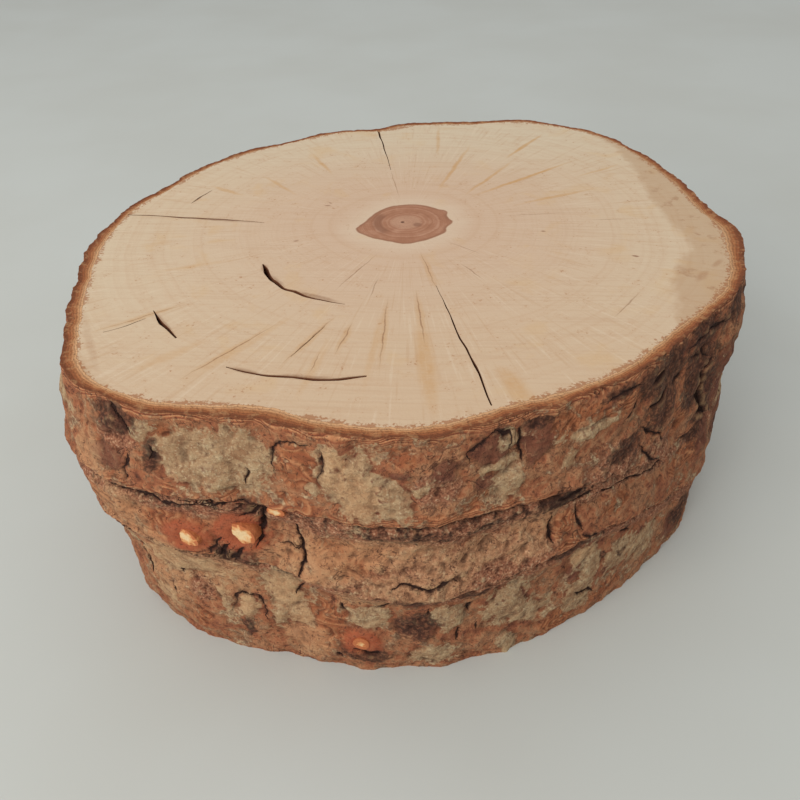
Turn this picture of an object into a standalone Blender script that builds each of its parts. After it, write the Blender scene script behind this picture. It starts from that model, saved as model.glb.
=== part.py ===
"""A low tree stump: one round of trunk, sawn flat at the top and the bottom, with its bark on.

Metres, +Z up. It stands on z = 0, and the middle of its footprint is the origin. Azimuths are in
degrees about the pith, counted from +X towards +Y. The tables below give lengths in millimetres.
"""

import math

import bmesh
import bpy
from mathutils import Matrix, Vector, noise

MM = 0.001

# Driving dimensions
HEIGHT = 165.0  # between the two saw cuts
PITH = (-1.7, 12.8)  # where the growth centre comes up, from the middle of the footprint
COLUMNS = 144  # vertices in each row of the side
CUT_EDGE = 1.2  # how far the saw's arris is worn back
GROOVE_DEPTH = 5.0  # of a crease, behind the lip above it
LUMP_HEIGHT = 1.6  # of the small unevenness of the bark
LUMP_LENGTH = 19.0
SKEW_LIMIT = math.radians(30)  # a sharper turn than this is drawn as an edge

# The outline of the top cut, bark included: (azimuth, distance from the pith). It narrows at 95,
# where the bark folds in at a crack, and at 250, and it stands out at 60 and at 222.
RIM = (
    (0, 180), (10, 180), (25, 185), (40, 195), (47, 196), (60, 192.5), (65, 186), (71, 176.5),
    (80, 172), (90, 168), (95, 161), (100, 162.5), (106, 166), (120, 163), (135, 166),
    (148, 167.5), (160, 168), (167, 174), (180, 178), (195, 184.5), (205, 193), (213, 199),
    (220, 210), (226, 211), (235, 205), (243, 196), (250, 190), (257, 192.5), (266, 194),
    (272, 193.5), (280, 187.5), (286, 185.5), (300, 183.5), (316, 179.5), (323, 181),
    (331, 186.5), (345, 188), (351, 188.5), (356, 184.5),
)

# How far the bottom cut's outline stands out from the rim's: (azimuth, offset)
FOOT = (
    (20, -3), (60, -4), (110, -3), (160, -4), (200, -2), (215, -3), (224, -8.5), (236, -4.5),
    (249, 0.5), (258, -2.5), (270, -6), (284, -1), (293, -3), (308, 0), (320, 4), (342, -1),
)

# Two creases run round the trunk and part it into three collars. The next tables share one row
# of azimuths: the height of each crease, and how far the bark stands out from the rim's outline.
AZIMUTHS = (20, 60, 110, 160, 210, 235, 250, 265, 280, 300, 320, 342)
UPPER_CREASE = (104, 104, 108, 112, 116, 116, 114, 109, 106, 103, 88, 98)
LOWER_CREASE = (46, 56, 62, 70, 74, 79, 73, 65, 64, 70, 48, 32)
UPPER_BELLY = (3, 2, 3, 3, 4, 3, 2, 2.5, 2.5, 2, 2, 4)
UPPER_LIP = (4, 3, 5, 7, 8, 7, 5, 4, 4, 3, 2, 2)
UPPER_SHOULDER = (2, 1, 3, 5, 9, 4, 1, 0, 0, -1, 1, 3)
MIDDLE_BELLY = (4, 2, 3, 5, 6, 5, 2.5, 2, 2, 2, 4, 5)
LOWER_LIP = (3, 2, 3, 3, 1.5, 3.5, 3, 4, 3.5, 2.5, 4, 4)
LOWER_SHOULDER = (0, -1, -1, -1, -1.5, -1, 0, -1.5, 0, 0, 3, 1)

# Drying cracks in the top cut: a path of (azimuth, distance from the pith, width), and a depth
CRACKS = {
    "far_radial": (((95.6, 80, 0.6), (95.8, 120, 1.2), (96, 150, 2.0), (96, 170, 3.4)), 26),
    "left_radial": (((176, 84, 0.6), (173.3, 110, 1.2), (172.6, 140, 1.5), (172, 172, 0.8)), 14),
    "near_radial": (((280, 78, 0.7), (280.2, 101, 1.6), (280, 140, 2.0), (280, 178, 1.4)), 22),
    "inner_shake": (
        ((211, 91, 0.7), (215, 93.5, 2.3), (221, 96, 2.6), (229, 97.5, 2.0), (240, 97, 1.0),
         (250, 96, 0.6)), 16),
    "outer_shake": (
        ((239, 164, 0.7), (246, 162.5, 1.5), (254, 159, 1.6), (262, 153.5, 1.2)), 14),
    "short_shake": (((215, 157, 0.6), (220, 159.5, 1.5), (226, 161, 0.9)), 8),
}

# Sawn twig stubs on the side: (azimuth, height, radius at the bark, radius at the cut, length)
STUBS = {
    "left_stub": (237.3, 91, 8.5, 6.0, 4.0),
    "middle_stub": (244.0, 97, 9.0, 7.0, 5.0),
    "right_stub": (249.9, 114, 5.0, 3.5, 4.0),
    "foot_stub": (260.8, 29, 6.5, 4.0, 4.5),
}

# Hollows in the side, in the angle of a stub: (azimuth, height, radius, how deep it goes in)
HOLLOWS = {
    "stub_hollow": (247.6, 105, 7.5, 5.5),
    "foot_hollow": (261.8, 18, 6.0, 3.5),
}

BARK_COLOUR = (0.23, 0.135, 0.075, 1.0)
BARK_ROUGHNESS = 0.9
WOOD_COLOUR = (0.68, 0.50, 0.33, 1.0)
WOOD_ROUGHNESS = 0.75


def clear_scene():
    """Removes every object of the open file."""
    for obj in list(bpy.data.objects):
        bpy.data.objects.remove(obj, do_unlink=True)


def around(points, azimuth):
    """The value at an azimuth of a closed smooth curve through (azimuth, value) points."""
    count = len(points)
    azimuth %= 360
    after = next((i for i, point in enumerate(points) if point[0] > azimuth), 0)
    before = after - 1
    near = [points[(before + step) % count] for step in (-1, 0, 1, 2)]
    at = [near[1][0]]
    for point in near[2:]:
        at.append(at[-1] + (point[0] - at[-1]) % 360)
    at.insert(0, at[0] - (near[1][0] - near[0][0]) % 360)
    value = [point[1] for point in near]
    span = at[2] - at[1]
    t = (azimuth - at[1]) % 360 / span
    slope_in = (value[2] - value[0]) / (at[2] - at[0]) * span
    slope_out = (value[3] - value[1]) / (at[3] - at[1]) * span
    rise = value[2] - value[1]
    return (
        value[1]
        + slope_in * t
        + (3 * rise - 2 * slope_in - slope_out) * t**2
        + (slope_in + slope_out - 2 * rise) * t**3
    )


def row(values, azimuth):
    """The value at an azimuth of one of the tables that share AZIMUTHS."""
    return around(tuple(zip(AZIMUTHS, values)), azimuth)


def side_profile(azimuth):
    """The bark's profile at an azimuth, from foot to rim: (height, offset from the rim)."""
    upper = row(UPPER_CREASE, azimuth)
    lower = row(LOWER_CREASE, azimuth)
    foot = around(FOOT, azimuth)
    upper_lip = row(UPPER_LIP, azimuth)
    lower_lip = row(LOWER_LIP, azimuth)
    shoulder = row(LOWER_SHOULDER, azimuth)
    upper_shoulder = row(UPPER_SHOULDER, azimuth)
    middle = row(MIDDLE_BELLY, azimuth)
    belly = row(UPPER_BELLY, azimuth)
    return (
        (0, foot - CUT_EDGE),
        (CUT_EDGE, foot),
        (lower * 0.35, (foot + shoulder) / 2),
        (lower * 0.7, shoulder),
        (lower - 6, shoulder),
        (lower, lower_lip - GROOVE_DEPTH),
        (lower + 3, lower_lip),
        (lower + 9, lower_lip + 0.5),
        ((lower + upper) / 2, middle),
        (upper - 15, (middle + upper_shoulder) / 2),
        (upper - 7, upper_shoulder),
        (upper, upper_lip - GROOVE_DEPTH),
        (upper + 3, upper_lip),
        (upper + 10, upper_lip),
        ((upper + 10 + HEIGHT) / 2, belly),
        (HEIGHT - 8, 0.5),
        (HEIGHT - CUT_EDGE, 0),
        (HEIGHT, -CUT_EDGE),
    )


def place(azimuth, distance, height):
    """The point at an azimuth, distance from the pith and height, in metres."""
    turn = math.radians(azimuth)
    x = PITH[0] + distance * math.cos(turn)
    y = PITH[1] + distance * math.sin(turn)
    return Vector((x, y, height)) * MM


def lump(point):
    """The bark's small unevenness at a point, in millimetres."""
    return LUMP_HEIGHT * noise.noise(point / (LUMP_LENGTH * MM))


def side_radius(azimuth, height):
    """How far the side is from the pith at an azimuth and a height, without its lumps."""
    profile = side_profile(azimuth)
    for (low, inner), (high, outer) in zip(profile, profile[1:]):
        if low <= height <= high:
            share = (height - low) / (high - low)
            return around(RIM, azimuth) + inner + (outer - inner) * share
    raise ValueError("a height is between 0 and HEIGHT")


def make_trunk():
    """The round of trunk: rings of vertices extruded from the foot up, and closed at both cuts."""
    mesh = bmesh.new()
    made = bmesh.ops.create_circle(mesh, segments=COLUMNS, radius=1)
    ring = sorted(made["verts"], key=lambda vert: math.atan2(vert.co.y, vert.co.x) % math.tau)
    azimuths = [360 * column / COLUMNS for column in range(COLUMNS)]
    profiles = [side_profile(azimuth) for azimuth in azimuths]
    rim = [around(RIM, azimuth) for azimuth in azimuths]
    levels = len(profiles[0])
    rings = [ring]
    for _ in range(levels - 1):
        edges = [mesh.edges.get((a, b)) for a, b in zip(ring, ring[1:] + ring[:1])]
        made = bmesh.ops.extrude_edge_only(mesh, edges=edges)["geom"]
        raised = {item for item in made if isinstance(item, bmesh.types.BMVert)}
        ring = [next(e.other_vert(v) for e in v.link_edges if e.other_vert(v) in raised) for v in ring]
        rings.append(ring)
    for level, ring in enumerate(rings):
        for azimuth, outline, profile, vert in zip(azimuths, rim, profiles, ring):
            height, offset = profile[level]
            vert.co = place(azimuth, outline + offset, height)
            if 0 < level < levels - 1:
                vert.co = place(azimuth, outline + offset + lump(vert.co), height)
    for ring in (rings[0], rings[-1]):
        bmesh.ops.contextual_create(mesh, geom=ring)
    bmesh.ops.recalc_face_normals(mesh, faces=mesh.faces)
    return mesh


def make_stub(azimuth, height, base_radius, cut_radius, length):
    """A twig's stub, sawn off just outside the bark, standing square to the side."""
    root = 6.0
    distance = side_radius(azimuth, height) + (length - root) / 2
    mesh = bmesh.new()
    outwards = Vector((math.cos(math.radians(azimuth)), math.sin(math.radians(azimuth)), 0))
    turn = outwards.to_track_quat("Z", "Y").to_matrix().to_4x4()
    bmesh.ops.create_cone(
        mesh,
        cap_ends=True,
        segments=14,
        radius1=base_radius * MM,
        radius2=cut_radius * MM,
        depth=(length + root) * MM,
        matrix=Matrix.Translation(place(azimuth, distance, height)) @ turn,
    )
    return mesh


def make_hollow(azimuth, height, radius, depth):
    """The round cutter of a hollow in the side."""
    distance = side_radius(azimuth, height) + radius - depth
    mesh = bmesh.new()
    bmesh.ops.create_icosphere(
        mesh,
        subdivisions=2,
        radius=radius * MM,
        matrix=Matrix.Translation(place(azimuth, distance, height)),
    )
    return mesh


def make_crack(path, depth):
    """The cutter of a drying crack: a wedge that follows its path, open upwards."""
    above = 2.0
    mesh = bmesh.new()
    centres = [place(azimuth, distance, HEIGHT) for azimuth, distance, _ in path]
    loops = []
    for index, (centre, (_, _, width)) in enumerate(zip(centres, path)):
        before = centres[max(index - 1, 0)]
        after = centres[min(index + 1, len(centres) - 1)]
        along = (after - before).normalized()
        across = Vector((-along.y, along.x, 0)) * width * MM / 2
        spread = across * (1 + above / depth)
        sunk = depth * (0.4 if index in (0, len(path) - 1) else 1)
        top = centre + Vector((0, 0, above * MM))
        bottom = centre - Vector((0, 0, sunk * MM))
        corners = [mesh.verts.new(point) for point in (top + spread, top - spread, bottom)]
        face = bmesh.ops.contextual_create(mesh, geom=corners)["faces"][0]
        loops.append((face, list(face.edges)))
    for (_, first), (_, second) in zip(loops, loops[1:]):
        bmesh.ops.bridge_loops(mesh, edges=first + second)
    inner = [face for face, _ in loops[1:-1]]
    bmesh.ops.delete(mesh, geom=inner, context="FACES_ONLY")
    bmesh.ops.recalc_face_normals(mesh, faces=mesh.faces)
    return mesh


def make_material(name, colour, roughness):
    """A plain finish of one colour."""
    material = bpy.data.materials.new(name)
    material.use_nodes = True
    shader = material.node_tree.nodes["Principled BSDF"]
    shader.inputs["Base Color"].default_value = colour
    shader.inputs["Roughness"].default_value = roughness
    shader.inputs["Metallic"].default_value = 0
    material.diffuse_color = colour
    return material


def add_object(name, mesh):
    """Puts a finished bmesh in the scene as an object."""
    data = bpy.data.meshes.new(name)
    mesh.to_mesh(data)
    mesh.free()
    obj = bpy.data.objects.new(name, data)
    bpy.context.scene.collection.objects.link(obj)
    return obj


def shape_with(target, name, mesh, operation):
    """Joins a helper shape to the target, or cuts it out, with a Boolean that stays live."""
    helper = add_object(name, mesh)
    helper.hide_render = True
    helper.display_type = "WIRE"
    modifier = target.modifiers.new(name, "BOOLEAN")
    modifier.operation = operation
    modifier.solver = "EXACT"
    modifier.object = helper


def dress(stump):
    """The bark's finish on the side, and the wood's on the two saw cuts."""
    stump.data.materials.append(make_material("bark", BARK_COLOUR, BARK_ROUGHNESS))
    stump.data.materials.append(make_material("wood", WOOD_COLOUR, WOOD_ROUGHNESS))
    for face in stump.data.polygons:
        face.material_index = int(abs(face.normal.z) > 0.9 and len(face.vertices) > 4)
    stump.data.shade_smooth()
    stump.data.set_sharp_from_angle(angle=SKEW_LIMIT)


def main():
    clear_scene()
    stump = add_object("stump", make_trunk())
    dress(stump)
    for name, stub in STUBS.items():
        shape_with(stump, name, make_stub(*stub), "UNION")
    for name, hollow in HOLLOWS.items():
        shape_with(stump, name, make_hollow(*hollow), "DIFFERENCE")
    for name, crack in CRACKS.items():
        shape_with(stump, name, make_crack(*crack), "DIFFERENCE")


main()
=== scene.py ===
"""Looks of a low tree stump: a sawn round of trunk with cracked end grain and rough mottled bark.

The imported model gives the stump's place and size. The wood, the bark's three collars and the sawn
twig stubs are modelled here in millimetres, about the pith, and brought into metres at the end.
Azimuths are in degrees about the pith, from +X towards +Y.
"""

import itertools
import logging
import math
from dataclasses import dataclass, field
from enum import Enum
from typing import NamedTuple

import bmesh
import bpy
import numpy as np
from mathutils import Matrix, Vector

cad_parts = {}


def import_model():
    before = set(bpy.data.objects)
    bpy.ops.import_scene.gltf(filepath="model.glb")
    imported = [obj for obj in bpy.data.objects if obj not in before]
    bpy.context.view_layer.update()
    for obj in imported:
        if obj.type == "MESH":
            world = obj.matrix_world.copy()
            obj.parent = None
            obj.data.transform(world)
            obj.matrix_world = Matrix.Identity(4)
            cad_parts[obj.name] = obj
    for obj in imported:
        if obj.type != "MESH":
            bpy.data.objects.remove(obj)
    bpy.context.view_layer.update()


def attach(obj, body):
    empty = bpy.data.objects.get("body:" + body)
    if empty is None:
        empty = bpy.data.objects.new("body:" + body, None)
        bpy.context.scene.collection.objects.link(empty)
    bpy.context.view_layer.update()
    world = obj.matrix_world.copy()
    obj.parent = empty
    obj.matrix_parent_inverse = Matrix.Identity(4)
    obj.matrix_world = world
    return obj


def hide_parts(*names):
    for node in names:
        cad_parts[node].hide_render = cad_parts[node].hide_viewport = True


MM = 0.001
FULL_TURN = 360.0
MEAN_RADIUS = 190.0
BODY = "root"
NODE = "stump"
BAKE_MAP = "OFBake"

log = logging.getLogger("stump")

Place = tuple[float, float]
Maps = dict[str, np.ndarray]


def linear(code: str) -> tuple[float, float, float, float]:
    """The scene-linear colour of a display colour.

    Args:
        code: Six hexadecimal digits.

    Returns:
        Red, green, blue and an alpha of 1.
    """
    parts = [int(code[start : start + 2], 16) / 255 for start in (0, 2, 4)]
    bent = [part / 12.92 if part <= 0.04045 else ((part + 0.055) / 1.055) ** 2.4 for part in parts]
    return (bent[0], bent[1], bent[2], 1.0)


# --- Form: the trunk's outline and its profile


class Noise:
    """Smooth gradient noise over points in millimetres, the same for the same seed."""

    def __init__(self, seed: int) -> None:
        """Draws the noise's tables.

        Args:
            seed: Chooses the noise.
        """
        draw = np.random.default_rng(seed)
        self.order = draw.permutation(256)
        slopes = draw.normal(size=(256, 3))
        self.slopes = slopes / np.linalg.norm(slopes, axis=1, keepdims=True)

    def at(self, points: np.ndarray, length: float) -> np.ndarray:
        """The noise at some points.

        Args:
            points: Points, with their three coordinates on the last axis.
            length: The size of its lumps.

        Returns:
            A value from about -1 to 1 for each point.
        """
        scaled = points / length
        cell = np.floor(scaled).astype(int)
        part = scaled - cell
        ease = part**3 * (part * (part * 6 - 15) + 10)
        total = np.zeros(points.shape[:-1])
        for corner in itertools.product((0, 1), repeat=3):
            near = (cell + corner) & 255
            index = self.order[near[..., 0]]
            index = self.order[(index + near[..., 1]) & 255]
            index = self.order[(index + near[..., 2]) & 255]
            rise = (self.slopes[index] * (part - corner)).sum(-1)
            weight = np.prod(np.where(np.array(corner) == 1, ease, 1 - ease), axis=-1)
            total += weight * rise
        return total * 1.6

    def rough(self, points: np.ndarray, length: float, layers: int) -> np.ndarray:
        """The sum of several layers of noise, each half as long and half as high as the last.

        Args:
            points: Points, with their three coordinates on the last axis.
            length: The size of the first layer's lumps.
            layers: How many layers there are.

        Returns:
            A value from about -2 to 2 for each point.
        """
        total = np.zeros(points.shape[:-1])
        for layer in range(layers):
            total += self.at(points + 31.7 * layer, length / 2**layer) / 2**layer
        return total


# Noises of the form: the worn lips, and the wood's torn edge, coarse and fine
LIP_WEAR, TORN, FRAYED = Noise(3), Noise(5), Noise(6)


def on_plain_round(azimuth: np.ndarray, height: np.ndarray | float) -> np.ndarray:
    """Points of a plain round trunk, which the noise is read at.

    Args:
        azimuth: The azimuth of each point.
        height: The height of each point.

    Returns:
        The points in millimetres, with their coordinates on the last axis.
    """
    turn = np.radians(azimuth)
    x, y = MEAN_RADIUS * np.cos(turn), MEAN_RADIUS * np.sin(turn)
    return np.stack(np.broadcast_arrays(x, y, height), axis=-1)


def ease_between(low: float, high: float, value: np.ndarray) -> np.ndarray:
    """A smooth step from 0 at low to 1 at high."""
    share = np.clip((value - low) / (high - low), 0, 1)
    return share * share * (3 - 2 * share)


def smooth_through(at: np.ndarray, values: np.ndarray, wanted: np.ndarray) -> np.ndarray:
    """A smooth curve through some stations, column by column.

    Args:
        at: Where the stations are, rising down the first axis, one column for each curve.
        values: The curve's value at each station.
        wanted: Where the curve is read, one column for each curve.

    Returns:
        The values read, in the shape of wanted.
    """
    span = np.diff(at, axis=0)
    slope = np.diff(values, axis=0) / span
    inner = (slope[:-1] * span[1:] + slope[1:] * span[:-1]) / (span[1:] + span[:-1])
    tangent = np.vstack([slope[:1], inner, slope[-1:]])
    result = np.zeros(wanted.shape)
    for low in range(len(at) - 1):
        first, last = low == 0, low == len(at) - 2
        inside = ((wanted >= at[low]) | first) & ((wanted <= at[low + 1]) | last)
        t = np.clip((wanted - at[low]) / span[low], 0, 1)
        rise = values[low + 1] - values[low]
        enter, leave = tangent[low] * span[low], tangent[low + 1] * span[low]
        curve = values[low] + enter * t + (3 * rise - 2 * enter - leave) * t**2
        curve = curve + (enter + leave - 2 * rise) * t**3
        result = np.where(inside, curve, result)
    return result


@dataclass(frozen=True)
class Around:
    """A closed smooth curve round the trunk through (azimuth, value) points."""

    points: tuple[Place, ...]

    def at(self, azimuth: np.ndarray) -> np.ndarray:
        """The curve's value at each azimuth.

        Args:
            azimuth: The azimuths, in any turn.

        Returns:
            One value for each azimuth.
        """
        turn, value = np.array(self.points, float).T
        turn = np.concatenate([turn[-2:] - FULL_TURN, turn, turn[:3] + FULL_TURN])
        value = np.concatenate([value[-2:], value, value[:3]])
        slope = (value[2:] - value[:-2]) / (turn[2:] - turn[:-2])
        azimuth = np.asarray(azimuth) % FULL_TURN
        low = np.clip(np.searchsorted(turn, azimuth, side="right") - 1, 1, len(turn) - 3)
        span = turn[low + 1] - turn[low]
        t = (azimuth - turn[low]) / span
        rise = value[low + 1] - value[low]
        enter, leave = slope[low - 1] * span, slope[low] * span
        bend = (3 * rise - 2 * enter - leave) * t**2
        return value[low] + enter * t + bend + (enter + leave - 2 * rise) * t**3


# The outline of the top cut, bark included: (azimuth, distance from the pith)
RIM = Around((
    (0, 180), (10, 180), (25, 185), (40, 195), (47, 196), (60, 192.5), (65, 186), (71, 176.5),
    (80, 172), (90, 168), (95, 161), (100, 162.5), (106, 166), (120, 163), (135, 166),
    (148, 167.5), (160, 168), (167, 174), (180, 178), (195, 184.5), (205, 193), (213, 199),
    (220, 210), (226, 211), (235, 205), (243, 196), (250, 190), (257, 192.5), (266, 194),
    (272, 193.5), (280, 187.5), (286, 185.5), (300, 183.5), (316, 179.5), (323, 181),
    (331, 186.5), (345, 188), (351, 188.5), (356, 184.5),
))

# How far the bottom cut's outline stands out from the rim's
FOOT = Around((
    (20, -3), (60, -4), (110, -3), (160, -4), (200, -2), (215, -3), (224, -8.5), (236, -4.5),
    (249, 0.5), (258, -2.5), (270, -6), (284, -1), (293, -3), (308, 0), (320, 4), (342, -1),
))

# How thick the bark is at the top cut
BARK = Around((
    (0, 7), (20, 5.5), (45, 5), (95, 6), (150, 5), (185, 5.7), (206, 9), (213, 7), (219, 8.5),
    (226, 6), (240, 6), (248, 8.2), (256, 6.6), (270, 6.5), (285, 6.7), (300, 5.4), (311, 6.6),
    (322, 4.5), (330, 6), (342, 8.5), (350, 9.5),
))

SHARED_AZIMUTHS = (20, 60, 110, 160, 210, 235, 250, 265, 280, 300, 320, 342)


def shared(*values: float) -> Around:
    """A curve through one value for each of the shared azimuths."""
    return Around(tuple(zip(SHARED_AZIMUTHS, values)))


UPPER_BELLY = shared(3, 2, 3, 3, 4, 3, 2, 2.5, 2.5, 2, 2, 4)
UPPER_SHOULDER = shared(2, 1, 3, 5, 9, 4, 1, 0, 0, -1, 1, 3)
MIDDLE_BELLY = shared(4, 2, 3, 5, 6, 5, 2.5, 2, 2, 2, 4, 5)
LOWER_SHOULDER = shared(0, -1, -1, -1, -1.5, -1, 0, -1.5, 0, 0, 3, 1)


def unseen(azimuth: np.ndarray) -> np.ndarray:
    """How far round from the front an azimuth is: 0 on the front, 1 on the sides behind it."""
    return np.clip(ease_between(332, 348, azimuth) + ease_between(214, 198, azimuth), 0, 1)


@dataclass(frozen=True)
class Crease:
    """A crease that runs round the trunk.

    Attributes:
        height: The crease's height.
        lip: How far the lip over it stands out.
        gap: How far above the crease the lip ends.
    """

    height: Around
    lip: Around
    gap: Around

    def stands_out(self, azimuth: np.ndarray) -> np.ndarray:
        """How far the lip stands out once it has worn down on the sides away from the front.

        Args:
            azimuth: Where it is wanted.

        Returns:
            One distance for each azimuth.
        """
        uneven = 0.5 + 0.7 * LIP_WEAR.at(on_plain_round(azimuth, 0.0), 60)
        worn = unseen(azimuth) * np.clip(uneven, 0.1, 0.9)
        return self.lip.at(azimuth) * (1 - worn)


UPPER_CREASE = Crease(
    height=shared(104, 104, 108, 112, 116, 116, 114, 109, 106, 103, 88, 98),
    lip=shared(4, 3, 5, 7, 8, 7, 5, 4, 4, 3, 2, 2),
    gap=shared(3, 1, 5, 2, 4, 3, 4, 7, 9, 5, 1, 3),
)
LOWER_CREASE = Crease(
    height=shared(46, 56, 62, 70, 74, 79, 73, 65, 64, 70, 48, 32),
    lip=shared(3, 2, 3, 3, 1.5, 3.5, 3, 4, 3.5, 2.5, 4, 4),
    gap=shared(1, 4, 1, 3, 1, 1, 1, 1, 1.5, 1, 1, 3),
)


@dataclass(frozen=True)
class Trunk:
    """The round of trunk that the wood and the bark share."""

    height: float = 165.0
    pith: Place = (-1.7, 12.8)
    groove: float = 5.0

    def stations(self, azimuth: np.ndarray) -> tuple[np.ndarray, np.ndarray]:
        """The side's profile without its creases.

        Args:
            azimuth: Where the profiles are taken.

        Returns:
            The heights of its stations and how far each stands out from the rim's outline, with
            one column for each azimuth.
        """
        upper, lower = UPPER_CREASE.height.at(azimuth), LOWER_CREASE.height.at(azimuth)
        foot, shoulder = FOOT.at(azimuth), LOWER_SHOULDER.at(azimuth)
        middle, high = MIDDLE_BELLY.at(azimuth), UPPER_SHOULDER.at(azimuth)
        upper_lip, lower_lip = UPPER_CREASE.stands_out(azimuth), LOWER_CREASE.stands_out(azimuth)
        zero = np.zeros_like(upper)
        rows = (
            (zero, foot),
            (lower * 0.35, (foot + shoulder) / 2),
            (lower - 6, shoulder),
            (lower + 2, lower_lip),
            (lower + 9, lower_lip + 0.5),
            ((lower + upper) / 2, middle),
            (upper - 7, high),
            (upper + 2, upper_lip),
            (upper + 10, upper_lip),
            ((upper + 10 + self.height) / 2, UPPER_BELLY.at(azimuth)),
            (zero + self.height - 6, zero + 0.5),
            (zero + self.height, zero),
        )
        return np.array([row[0] for row in rows]), np.array([row[1] for row in rows])

    def side(self, azimuth: np.ndarray, height: np.ndarray) -> np.ndarray:
        """How far the side is from the pith, without creases or relief.

        Args:
            azimuth: One azimuth for each column.
            height: The heights wanted, in rows and columns.

        Returns:
            The distances, in rows and columns.
        """
        at, values = self.stations(azimuth)
        return RIM.at(azimuth) + smooth_through(at, values, height)

    def recess(self, azimuth: np.ndarray, crease: Crease) -> np.ndarray:
        """How far the bottom of a crease is from the pith."""
        return RIM.at(azimuth) + crease.stands_out(azimuth) - self.groove

    def wood(self, azimuth: np.ndarray, height: np.ndarray) -> np.ndarray:
        """How far the wood's torn edge is from the pith.

        Args:
            azimuth: One azimuth for each column.
            height: The heights wanted, in rows and columns.

        Returns:
            The distances, in rows and columns.
        """
        place = on_plain_round(azimuth, 0.0)
        torn = 0.8 * TORN.rough(place, 9, 3) + 0.45 * FRAYED.at(place, 2.6)
        drawn_in = FOOT.at(azimuth) * (1 - height / self.height)
        return RIM.at(azimuth) - BARK.at(azimuth) + torn + drawn_in

    def metres(self, azimuth: np.ndarray, distance: np.ndarray, height: np.ndarray) -> np.ndarray:
        """Brings places on the trunk into the frame.

        Args:
            azimuth: The azimuth of each place.
            distance: How far each place is from the pith.
            height: The height of each place.

        Returns:
            Points in metres, with their coordinates on the last axis.
        """
        turn = np.radians(azimuth)
        x = self.pith[0] + distance * np.cos(turn)
        y = self.pith[1] + distance * np.sin(turn)
        return np.stack(np.broadcast_arrays(x, y, height), axis=-1) * MM

    def point(self, azimuth: float, distance: float, height: float) -> Vector:
        """One point in the frame, in metres."""
        place = self.metres(np.array(azimuth), np.array(distance), np.array(height))
        return Vector(place.tolist())


# --- Bark: what shows on it, and where


class Patch(Enum):
    """What a patch of bark is like."""

    LICHEN = "lichen"
    OCHRE = "ochre"
    DARK = "dark"
    GRAIN = "grain"
    PALE = "pale"
    SHADE = "shade"


@dataclass(frozen=True)
class Blot:
    """A patch of bark: its middle, half its width and half its height."""

    azimuth: float
    height: float
    half_width: float
    half_height: float


def blots(*rows: tuple[float, float, float, float]) -> tuple[Blot, ...]:
    """Patches from rows of azimuth, height, half the width and half the height."""
    return tuple(Blot(*row) for row in rows)


@dataclass(frozen=True)
class Fissure:
    """A split or a fold in the bark along a path of (azimuth, height)."""

    path: tuple[Place, ...]
    width: float
    depth: float


def fissures(*rows: tuple[tuple[Place, ...], float, float]) -> tuple[Fissure, ...]:
    """Fissures from rows of path, width and depth."""
    return tuple(Fissure(*row) for row in rows)


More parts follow.
